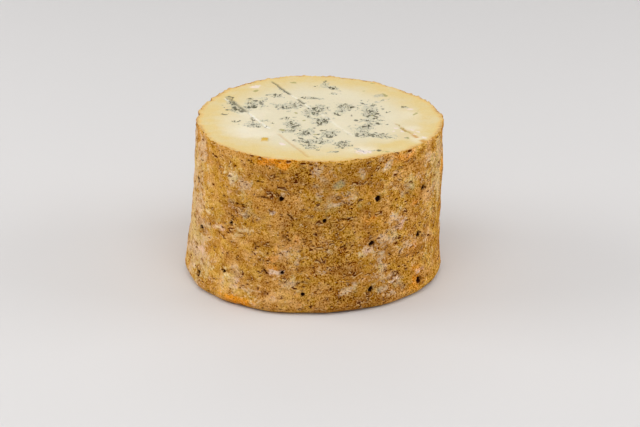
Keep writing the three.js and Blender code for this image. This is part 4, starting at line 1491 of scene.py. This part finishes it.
@dataclass(frozen=True)
class PasteFinish:
    """Cut paste: cream, buttery towards the rind, with blue-grey mould and opened needle channels.

    Spans, greatest strengths, gains, weights, pushes and offsets are as in the rind's finish.

    Attributes:
        rims: Colour, span and greatest strength of each tone of the edge.
        tinges: Kind, colour, span and greatest strength of each pale mould, as they are laid.
        inks: Colours between which the dark mould changes.
        spots, dashes: Pitch, and half widths of the smallest and largest as shares of it.
        laces: Noise of each set of dark lines, with its half width in haze and what boldness adds.
        even: The shader's sockets that are the same all over.
    """

    cream: Colour = (0.755, 0.675, 0.475)
    butter: Colour = (0.750, 0.570, 0.232)
    butter_gain: Span = (0.6, 0.7)
    milk: Colour = (0.85, 0.765, 0.58)
    rims: tuple[tuple[Colour, Span, float], ...] = (
        ((0.80, 0.50, 0.14), (0.15, 0.95), 0.6), ((0.58, 0.32, 0.10), (0.80, 1.15), 0.85),
    )
    rim_weights: Weights = ((PasteClouds.SOFT, 0.8), (PasteClouds.SPOTS, 1.0), (PasteClouds.GRAIN, 0.6))
    mould_weights: Weights = ((PasteClouds.SPOTS, 1.4), (PasteClouds.GRAIN, 0.5))
    tinges: tuple[tuple[Mould, Colour, Span, float], ...] = (
        (Mould.GREY, (0.52, 0.507, 0.395), (0.30, 0.66), 0.52),
        (Mould.LILAC, (0.86, 0.72, 0.65), (0.38, 0.64), 0.9),
        (Mould.OLIVE, (0.38, 0.33, 0.09), (0.40, 0.62), 0.8),
    )
    channels: tuple[tuple[Channel, Colour], ...] = (
        (Channel.CLEAN, (0.97, 0.93, 0.82)), (Channel.OCHRE, (0.60, 0.29, 0.037)),
        (Channel.MOULDED, (0.11, 0.105, 0.065)),
    )
    inks: tuple[Colour, Colour] = ((0.070, 0.066, 0.034), (0.100, 0.088, 0.035))
    ink_span: Span = (0.42, 0.60)
    blue_span: Span = (0.34, 0.50)
    bold_span: Span = (0.10, 0.65)
    spot_push: Span = (2.5, 1.2)
    spots: Triple = (2.6, -0.45, 0.38)
    spot_weights: Weights = ((PasteClouds.GRAIN, 0.6),)
    spot_span: Span = (0.0, 0.35)
    laces: tuple[tuple[PasteClouds, float, float], ...] = (
        (PasteClouds.LACE, 0.024, 0.036), (PasteClouds.FINE_LACE, 0.024, 0.028),
    )
    lace_weights: Weights = ((PasteClouds.GRAIN, 0.06),)
    lace_edge: float = 0.020
    cloud_span: Span = (0.25, 0.75)
    cloud_lift: float = 0.75
    dash_push: Span = (2.5, 1.6)
    dashes: Triple = (3.6, -0.45, 0.50)
    dash_weights: Weights = ((PasteClouds.GRAIN, 0.8), (PasteClouds.SOFT, 1.2))
    dash_span: Span = (-0.02, 0.30)
    dash_most: float = 0.9
    core_weights: Weights = ((PasteClouds.GRAIN, 0.4),)
    core_span: Span = (0.68, 0.84)
    dust: Colour = (0.50, 0.46, 0.36)
    dust_weights: Weights = ((PasteClouds.SAND, 0.22), (PasteClouds.GRAIN, 0.15))
    crumb: Colour = (0.67, 0.41, 0.045)
    aside: Triple = (0.2, 0.1, 0.3)
    vein_scale: Triple = (1, 0.6, 1)
    height_weights: Weights = ((PasteClouds.SOFT, 0.6), (PasteClouds.GRAIN, 0.4))
    bump: Span = (0.5, 0.35)
    even: dict[str, object] = field(
        default_factory=lambda: {
            "Roughness": 0.55,
            "Specular IOR Level": 0.35,
            "Subsurface Weight": 0.1,
            "Subsurface Radius": (1.0, 0.6, 0.25),
            "Subsurface Scale": 1.5 * MM,
        }
    )

    def material(self) -> bpy.types.Material:
        """Builds the paste's material.

        Returns:
            The material, which reads the painted paste attributes and Object coordinates.
        """
        material, shader = new_material("paste")
        board = NodeBoard(material.node_tree)
        plain = board.place()
        aside = board.mapped(plain, offset=self.aside)
        veined = board.mapped(aside, scale=self.vein_scale)
        places = {Place.PLAIN: plain, Place.ASIDE: aside, Place.VEINED: veined}
        paints = (Paint.PASTE_TONES, Paint.MOULD_MARKS, Paint.CHANNEL_MARKS, Paint.STRAY_MARKS)
        ground = Ground.laid(board, places, PasteClouds, paints)
        cloudy = board.ramp(ground.clouds[PasteClouds.SOFT], *self.cloud_span)
        colour = self._moulded(ground, cloudy, self._toned(ground, cloudy))
        colour = board.dusted(colour, self.dust, ground.ragged(self.dust_weights))
        colour = board.mix(ground.traces[Trace.CRUMB], colour, self.crumb)
        board.feed(shader.inputs["Base Color"], colour)
        board.feed(shader.inputs["Normal"], board.bump(ground.blended(self.height_weights), *self.bump))
        settle(shader, self.even)
        return material

    def _toned(self, ground: Ground, cloudy: Socket) -> Socket:
        """Lays cream, butter, milk and the tones of the edge.

        Args:
            ground: What the layers share.
            cloudy: Soft clouding, from 0 to 1.

        Returns:
            The colour.
        """
        board = ground.board
        buttery = board.times(ground.traces[Trace.HALO], board.scaled(cloudy, *self.butter_gain))
        colour = board.mix(buttery, self.cream, self.butter)
        colour = board.mix(ground.traces[Trace.MILK], colour, self.milk)
        for shade, span, most in self.rims:
            edge = ground.frayed(ground.traces[Trace.EDGE], self.rim_weights, span)
            colour = board.mix(board.times(edge, most), colour, shade)
        return colour

    def _moulded(self, ground: Ground, cloudy: Socket, colour: Socket) -> Socket:
        """Lays pale mould, channels and dark mould on a colour.

        Args:
            ground: What the layers share.
            cloudy: Soft clouding, from 0 to 1.
            colour: The colour so far.

        Returns:
            The mouldy colour.
        """
        board = ground.board
        patchy = {}
        for kind, shade, span, most in self.tinges:
            patchy[kind] = ground.frayed(ground.traces[kind], self.mould_weights, span)
            colour = board.mix(board.times(patchy[kind], most), colour, shade)
        for look, shade in self.channels:
            colour = board.mix(ground.traces[look], colour, shade)
        blue = ground.frayed(ground.traces[Mould.BLUE], self.mould_weights, self.blue_span)
        dark = self._dark(ground, cloudy, board.larger(patchy[Mould.GREY], blue))
        ink = board.mix(board.ramp(ground.clouds[PasteClouds.SOFT], *self.ink_span), *self.inks)
        return board.mix(dark, colour, ink)

    def _dark(self, ground: Ground, cloudy: Socket, inked: Socket) -> Socket:
        """Works out where mould is dark: spots and lace inside it, dashes round it, and cores.

        Args:
            ground: What the layers share.
            cloudy: Soft clouding, from 0 to 1.
            inked: Where spots and lace may be, from 0 to 1.

        Returns:
            The dark mould's strength, from 0 to 1.
        """
        board = ground.board
        blue = ground.traces[Mould.BLUE]
        bold = board.ramp(blue, *self.bold_span)
        spots = board.strokes(board.warped(ground.places[Place.VEINED], *self.spot_push), *self.spots)
        marks = [ground.frayed(spots, self.spot_weights, self.spot_span)]
        for kind, thin, thick in self.laces:
            half = board.scaled(bold, thick, board.times(inked, thin))
            inside = board.less(half, board.off_middle(ground.clouds[kind]))
            marks.append(ground.frayed(inside, self.lace_weights, (0.0, self.lace_edge)))
        dark = board.times(functools.reduce(board.larger, marks), inked)
        dark = board.times(dark, board.plus(cloudy, self.cloud_lift))
        dashes = board.strokes(board.warped(ground.places[Place.ASIDE], *self.dash_push), *self.dashes)
        dashes = ground.frayed(dashes, self.dash_weights, self.spot_span)
        dashes = board.times(dashes, board.ramp(ground.traces[Mould.GREY], *self.dash_span))
        core = ground.frayed(blue, self.core_weights, self.core_span)
        return functools.reduce(board.larger, (dark, board.times(dashes, self.dash_most), core))


@dataclass
class HalfCheese:
    """The whole cheese as one closed surface: a wall grid, a disc grid for the cut, and rings for the base.

    Attributes:
        cut_cells: Cells along each side of the square that is bent into the cut face.
        base_rings: Rings of the base, as shares of the radius.
        map_strips: Strips into which the wall is cut for its map.
        fade_height: Height over which the relief grows from the ground up.
        halo_reach, edge_reach: Distances from the rim at which buttery and brown tone start and are full.
        cut_fade: Distance from the rim over which the cut's relief grows.
        teeth: Noises of the rim's small and broad teeth.
        tooth_reach: How far down the wall and in from the rim the teeth reach.
    """

    form: DrumForm = field(default_factory=DrumForm)
    rind: RindMap = field(default_factory=RindMap)
    cut: CutMap = field(default_factory=CutMap)
    rind_finish: RindFinish = field(default_factory=RindFinish)
    paste_finish: PasteFinish = field(default_factory=PasteFinish)
    cut_cells: int = 156
    foot_rows: int = 9
    wall_rows: int = 98
    rim_rows: int = 2
    base_rings: tuple[float, ...] = (0.94, 0.6)
    map_strips: int = 3
    map_gap: float = 2.0
    fade_height: float = 5.0
    halo_reach: Span = (30, 1)
    edge_reach: Span = (4.2, 0.2)
    cut_fade: float = 1.5
    teeth: tuple[SpaceNoise, SpaceNoise] = (SpaceNoise(41, 2.2, 2), SpaceNoise(42, 9, 2, 0.7))
    tooth_depth: float = 0.5
    tooth_reach: Span = (3, 2.5)

    @property
    def columns(self) -> int:
        """Points round the wall, one for each point on the disc grid's border."""
        return 4 * self.cut_cells

    def wall_section(self) -> tuple[Array, Array]:
        """Works out the wall's section: an arc at the foot, a straight run and an arc at the rim.

        Returns:
            How far inside the wall's radius each row lies, and each row's height.
        """
        round_foot = np.linspace(0, math.pi / 2, self.foot_rows, endpoint=False)
        round_rim = np.linspace(0, math.pi / 2, self.rim_rows, endpoint=False)
        foot, bevel = self.form.foot_rounding, self.form.rim_bevel
        below_rim = self.form.height - bevel
        straight = np.linspace(foot, below_rim, self.wall_rows, endpoint=False)
        inset = [foot * (1 - np.sin(round_foot)), 0 * straight, bevel * (1 - np.cos(round_rim))]
        height = [foot * (1 - np.cos(round_foot)), straight, below_rim + bevel * np.sin(round_rim)]
        return np.concatenate(inset), np.concatenate(height)

    def plain_radius(self, azimuth: Array, height: Array, inset: Array) -> Array:
        """Radius without relief: the section's radius, stretched as the wall's radius is at that height.

        Args:
            azimuth: Directions from the axis, in radians.
            height: Heights.
            inset: How far inside the wall's radius the section lies.

        Returns:
            The radius in each direction.
        """
        section = self.form.profile_radius(np.maximum(height, self.form.foot_rounding)) - inset
        return section * self.form.wall_radius(azimuth, height) / self.form.profile_radius(height)

    def disc_grid(self) -> tuple[Array, Array]:
        """Bends a square grid into a disc, so that each square ring becomes a circle of even steps.

        Returns:
            Each point's share of the radius, and its azimuth in radians.
        """
        steps = np.linspace(-1, 1, self.cut_cells + 1)
        u, v = (side.ravel() for side in np.meshgrid(steps, steps, indexing="ij"))
        wide = np.abs(u) >= np.abs(v)
        longer = np.where(wide, u, v)
        shorter = np.where(wide, v, u)
        slope = np.divide(shorter, longer, out=np.zeros_like(u), where=longer != 0)
        turn = math.pi / 4 * slope
        azimuth = np.where(wide, turn, math.pi / 2 - turn) + np.where(longer < 0, math.pi, 0)
        return np.abs(longer), azimuth

    def disc_border(self) -> NDArray[np.int64]:
        """Lists the disc grid's border points, anticlockwise from azimuth -45 degrees."""
        cells = self.cut_cells
        up = np.arange(cells)
        down = cells - up
        along_u = np.concatenate([np.full(cells, cells), down, np.zeros(cells, int), up])
        along_v = np.concatenate([up, np.full(cells, cells), down, np.zeros(cells, int)])
        return along_u * (cells + 1) + along_v

    def build(self) -> bpy.types.Object:
        """Builds the cheese's mesh, paints its attributes and gives it its materials.

        Returns:
            The finished object, at the origin.
        """
        azimuth = -math.pi / 4 + math.tau * np.arange(self.columns) / self.columns
        inset, height = self.wall_section()
        rows = len(height)
        wall_azimuth = np.tile(azimuth, rows)
        wall_height = np.repeat(height, self.columns)
        plain = self.plain_radius(wall_azimuth, wall_height, np.repeat(inset, self.columns))
        plain_points = self.round_axis(plain, wall_azimuth, wall_height)
        middle = (plain_points.min(axis=0) + plain_points.max(axis=0)) / 2
        coat = self.rind.coat(RindPoints(wall_azimuth, wall_height, plain_points))
        relief = coat.relief * smooth_step(0, self.fade_height, wall_height)
        down, inwards = self.tooth_reach
        top = self.form.height
        relief += self.toothed(plain_points) * smooth_step(top - down, top, wall_height)
        wall = self.round_axis(plain + relief, wall_azimuth, wall_height)

        share, disc_azimuth = self.disc_grid()
        rim = self.plain_radius(azimuth, np.full(self.columns, self.form.height), self.form.rim_bevel)
        rim = rim + relief[-self.columns:]
        rim_there = np.interp(disc_azimuth, azimuth, rim, period=math.tau)
        radius = share * rim_there
        x, y = radius * np.cos(disc_azimuth), radius * np.sin(disc_azimuth)
        cut_coat = self.cut.coat(x, y)
        from_rim = rim_there - radius
        disc = np.stack([x + self.form.lean, y, np.full_like(x, self.form.height)], axis=1)
        disc[:, 2] += self.form.cut_rise(x, y) + cut_coat.relief * smooth_step(0, self.cut_fade, from_rim)
        disc[:, 2] += self.toothed(disc) * smooth_step(inwards, 0, from_rim)

        ground = np.zeros(self.columns)
        rings = [self.round_axis(plain[:self.columns] * ring, azimuth, ground) for ring in self.base_rings]
        points = np.concatenate([wall, disc, *rings, np.zeros((1, 3))])
        points[:, :2] -= middle[:2]
        piece = self._mesh(points, rows)
        self._paint(piece.data, coat, cut_coat, from_rim, len(points))
        return piece

    def toothed(self, points: Array) -> Array:
        """How far the crumbled rim stands out or is broken off: noise up to the tooth depth either way."""
        return self.tooth_depth * np.clip(sum(noise.at(points) for noise in self.teeth), -1, 1)

    def round_axis(self, radius: Array, azimuth: Array, height: Array) -> Array:
        """Places points by radius, azimuth and height round the leaning axis."""
        x = radius * np.cos(azimuth) + self.form.leaned(height)
        return np.stack([x, radius * np.sin(azimuth), height], axis=1)

    def _mesh(self, points: Array, rows: int) -> bpy.types.Object:
        """Joins the points into faces: quads for wall, disc and base rings, a fan at the base's middle.

        Args:
            points: Wall rows from the ground up, then the disc, the base rings and the base's middle.
            rows: Number of wall rows.

        Returns:
            The object with its mesh, materials and map.
        """
        columns, cells = self.columns, self.cut_cells
        disc_start = rows * columns
        base_start = disc_start + (cells + 1) ** 2
        rim = disc_start + self.disc_border()
        wall_rings = [row * columns + np.arange(columns) for row in range(rows)] + [rim]
        base_starts = [base_start + ring * columns for ring in range(len(self.base_rings))]
        base_rings = [start + np.arange(columns) for start in base_starts]
        upward = [self._band(low, high) for low, high in itertools.pairwise(wall_rings)]
        base_loops = [*reversed(base_rings), wall_rings[0]]
        under = [self._band(inner, outer) for inner, outer in itertools.pairwise(base_loops)]
        corner = (np.arange(cells)[:, None] * (cells + 1) + np.arange(cells)).ravel() + disc_start
        disc = np.stack([corner, corner + cells + 1, corner + cells + 2, corner + 1], axis=1)
        quads = np.concatenate([*under, *upward, disc])
        last = base_rings[-1]
        fan = np.stack([last, np.full(columns, len(points) - 1), np.roll(last, -1)], axis=1)
        paste_from = columns * (len(under) + rows)
        slots = np.concatenate([np.arange(len(quads)) >= paste_from, np.zeros(columns, bool)])

        mesh = bpy.data.meshes.new("half_cheese")
        mesh.vertices.add(len(points))
        mesh.vertices.foreach_set("co", (points * MM).ravel())
        mesh.loops.add(quads.size + fan.size)
        mesh.loops.foreach_set("vertex_index", np.concatenate([quads.ravel(), fan.ravel()]))
        mesh.polygons.add(len(slots))
        starts = np.concatenate([4 * np.arange(len(quads)), quads.size + 3 * np.arange(columns)])
        mesh.polygons.foreach_set("loop_start", starts)
        mesh.update(calc_edges=True)
        mesh.polygons.foreach_set("material_index", slots.astype(int))
        mesh.polygons.foreach_set("use_smooth", np.ones(len(slots), bool))
        mesh.materials.append(self.rind_finish.material())
        mesh.materials.append(self.paste_finish.material())
        mesh.validate()
        self._unwrap(mesh, points, rows)
        piece = bpy.data.objects.new("half_cheese", mesh)
        bpy.context.scene.collection.objects.link(piece)
        return piece

    def _unwrap(self, mesh: bpy.types.Mesh, points: Array, rows: int) -> None:
        """Lays the surface out flat: the wall in strips one above another, cut face and base beside them.

        The faces come in the order base rings, wall, cut face, base middle.

        Args:
            mesh: The mesh, with its faces.
            points: Its points, in millimetres.
            rows: Number of wall rows; not used.
        """
        columns, gap = self.columns, self.map_gap
        inset, height = self.wall_section()
        run = np.hypot(np.diff(inset, append=self.form.rim_bevel), np.diff(height, append=self.form.height))
        climb = np.concatenate([[0], np.cumsum(run)])
        strip_columns = columns // self.map_strips
        strip_width = math.tau * self.rind.mean_radius / self.map_strips
        column = np.arange(columns)
        strip = column // strip_columns
        near_side = gap + (column % strip_columns) * strip_width / strip_columns
        far_side = near_side + strip_width / strip_columns
        foot = gap + strip * (climb[-1] + gap)
        across = np.stack([near_side, far_side, far_side, near_side], axis=1)
        low, high = climb[:-1, None] + foot, climb[1:, None] + foot
        up = np.stack([low, low, high, high], axis=2)
        wall = np.stack([np.broadcast_to(across, up.shape), up], axis=3).reshape(-1, 2)

        corner = np.zeros(len(mesh.loops), np.int32)
        mesh.loops.foreach_get("vertex_index", corner)
        plan = points[corner, :2]
        base_loops = 4 * columns * len(self.base_rings)
        wall_stop = base_loops + len(wall)
        disc_stop = wall_stop + 4 * self.cut_cells**2
        half = np.abs(plan).max()
        middle_x = 2 * gap + strip_width + half
        side = 2 * (2 * gap + half) + strip_width
        spots = plan + np.array([middle_x, gap + half])
        spots[:base_loops, 1] += 2 * half + gap
        spots[disc_stop:, 1] += 2 * half + gap
        spots[base_loops:wall_stop] = wall
        layer = mesh.uv_layers.new(name="OFBake")
        layer.data.foreach_set("uv", (spots / max(side, spots.max() + gap)).ravel())

    def _band(self, low: NDArray[np.int64], high: NDArray[np.int64]) -> NDArray[np.int64]:
        """Joins two rings of points by a band of quads that face outwards when the second lies above."""
        return np.stack([low, np.roll(low, -1), np.roll(high, -1), high], axis=1)

    def _paint(self, mesh: bpy.types.Mesh, coat: RindCoat, cut: CutCoat, from_rim: Array, count: int) -> None:
        """Paints the coats into the mesh's attributes, up to three channels to each.

        Args:
            mesh: The mesh, wall points first and disc points after them.
            coat: The rind's coat at the wall points.
            cut: The cut's coat at the disc points.
            from_rim: How far inside the rim the disc points are.
            count: Number of points in the mesh.
        """
        wall = slice(0, len(coat.pit))
        disc = slice(wall.stop, wall.stop + len(from_rim))
        halo = np.maximum(smooth_step(*self.halo_reach, from_rim), cut.butter)
        edge = smooth_step(*self.edge_reach, from_rim)
        on_wall = {**coat.tints, Trace.PIT: coat.pit, Trace.CREASE: coat.crease}
        on_disc = {**cut.moulds, **cut.channels, Trace.HALO: halo, Trace.EDGE: edge}
        on_disc |= {Trace.MILK: cut.milk, Trace.CRUMB: cut.crumb}
        for name, kinds in (paint.value for paint in Paint):
            part, fields = (wall, on_wall) if kinds[0] in on_wall else (disc, on_disc)
            values = np.zeros((count, 3))
            values[part, :len(kinds)] = np.stack([fields[kind] for kind in kinds], axis=1)
            if part is wall:
                values[disc.start + self.disc_border()] = values[wall][-self.columns:]
            layer = mesh.attributes.new(name, "FLOAT_VECTOR", "POINT")
            layer.data.foreach_set("vector", values.ravel())

    def dress(self) -> bpy.types.Object:
        """Builds the cheese and puts it in its solid's place.

        Returns:
            The piece that stands for the solid.
        """
        piece = self.build()
        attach(piece, "root")
        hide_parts(NODE)
        return piece


@dataclass(frozen=True)
class Studio:
    """Plain pale floor, soft light from above and both sides, and the camera.

    Attributes:
        floor_half: Half the floor's side, in metres.
        lamps: Name, place and aim point in metres, side in metres and watts of each soft lamp.
        distance: Camera's distance along its view from the point that it turns about.
        elevation: How far down the camera looks.
        aim: How far right of and above the middle of the base the camera is shifted.
        view_end: How far the camera sees, in metres.
    """

    floor_half: float = 3.0
    floor_colour: Colour = (0.71, 0.695, 0.69)
    floor_roughness: float = 0.9
    floor_specular: float = 0.1
    sky: float = 0.40
    sky_colour: Colour = (1.0, 0.995, 0.99)
    lamps: tuple[tuple[str, Triple, Triple, float, float], ...] = (
        ("overhead", (0.0, -0.75, 1.45), (0, 0, 0.05), 1.6, 13.0),
        ("far", (0.0, 2.6, 1.8), (0, 2.5, 0), 1.6, 9.0),
        ("left", (-1.2, 0.0, 0.6), (0, 0, 0.04), 0.8, 7.5),
        ("right", (1.2, 0.0, 0.6), (0, 0, 0.04), 0.8, 6.0),
    )
    distance: float = 1001.1
    elevation: float = 23.203
    roll: float = 0.6545
    aim: Span = (3.41, 26.58)
    lens: float = 102.77
    picture_width: float = 36
    view_end: float = 20

    def build(self) -> None:
        """Builds floor, sky, lamps and camera."""
        self._floor()
        self._sky()
        for lamp in self.lamps:
            self._lamp(*lamp)
        self._camera()
        bpy.context.scene.view_settings.view_transform = "Standard"

    def _floor(self) -> None:
        """Lays the floor: one flat square at height 0."""
        half = self.floor_half
        corners = [(-half, -half, 0), (half, -half, 0), (half, half, 0), (-half, half, 0)]
        mesh = bpy.data.meshes.new("floor")
        mesh.from_pydata(corners, [], [(0, 1, 2, 3)])
        material, shader = new_material("floor")
        settle(shader, {"Base Color": (*self.floor_colour, 1), "Roughness": self.floor_roughness})
        settle(shader, {"Specular IOR Level": self.floor_specular})
        mesh.materials.append(material)
        floor = bpy.data.objects.new("floor", mesh)
        bpy.context.scene.collection.objects.link(floor)

    def _sky(self) -> None:
        """Sets the even light from all round."""
        world = bpy.data.worlds.new("studio")
        world.use_nodes = True
        background = world.node_tree.nodes["Background"]
        background.inputs["Color"].default_value = (*self.sky_colour, 1)
        background.inputs["Strength"].default_value = self.sky
        bpy.context.scene.world = world

    def _lamp(self, name: str, place: Triple, aim: Triple, side: float, watts: float) -> None:
        """Hangs one square soft lamp that faces its aim point.

        Args:
            name: The lamp's name.
            place: Where it hangs, in metres.
            aim: The point that it faces, in metres.
            side: Length of its side, in metres.
            watts: Its power.
        """
        light = bpy.data.lights.new(name, "AREA")
        light.shape = "SQUARE"
        light.size = side
        light.energy = watts
        lamp = bpy.data.objects.new(name, light)
        towards = np.array(aim) - np.array(place)
        back = -towards / np.linalg.norm(towards)
        right = np.cross((0, 1, 0), back)
        right /= np.linalg.norm(right)
        lamp.matrix_world = self._pose(right, np.cross(back, right), back, np.array(place))
        bpy.context.scene.collection.objects.link(lamp)

    def _camera(self) -> None:
        """Places the camera: back along its view from its aim, shifted right and up, then rolled."""
        tilt, roll = math.radians(self.elevation), math.radians(self.roll)
        right = np.array([1.0, 0.0, 0.0])
        up = np.array([0.0, math.sin(tilt), math.cos(tilt)])
        back = np.array([0.0, -math.cos(tilt), math.sin(tilt)])
        place = self.distance * back + self.aim[0] * right + self.aim[1] * up
        rolled_right = math.cos(roll) * right + math.sin(roll) * up
        rolled_up = math.cos(roll) * up - math.sin(roll) * right
        data = bpy.data.cameras.new("camera")
        data.sensor_fit = "HORIZONTAL"
        data.sensor_width = self.picture_width
        data.lens = self.lens
        data.clip_end = self.view_end
        camera = bpy.data.objects.new("camera", data)
        camera.matrix_world = self._pose(rolled_right, rolled_up, back, place * MM)
        bpy.context.scene.collection.objects.link(camera)
        bpy.context.scene.camera = camera

    def _pose(self, right: Array, up: Array, back: Array, place: Array) -> Matrix:
        """Makes a placement from three axes and a place."""
        rows = np.eye(4)
        rows[:3] = np.stack([right, up, back, place], axis=1)
        return Matrix(rows.tolist())


def main() -> None:
    """Builds the cheese and the studio, and reports each piece."""
    logging.basicConfig(level=logging.INFO, format="%(name)s: %(message)s")
    piece = HalfCheese().dress()
    LOG.info("%s: %d points, %d faces", piece.name, len(piece.data.vertices), len(piece.data.polygons))
    Studio().build()
    LOG.info("studio: floor, lamps and camera")


if __name__ == "__main__":
    main()
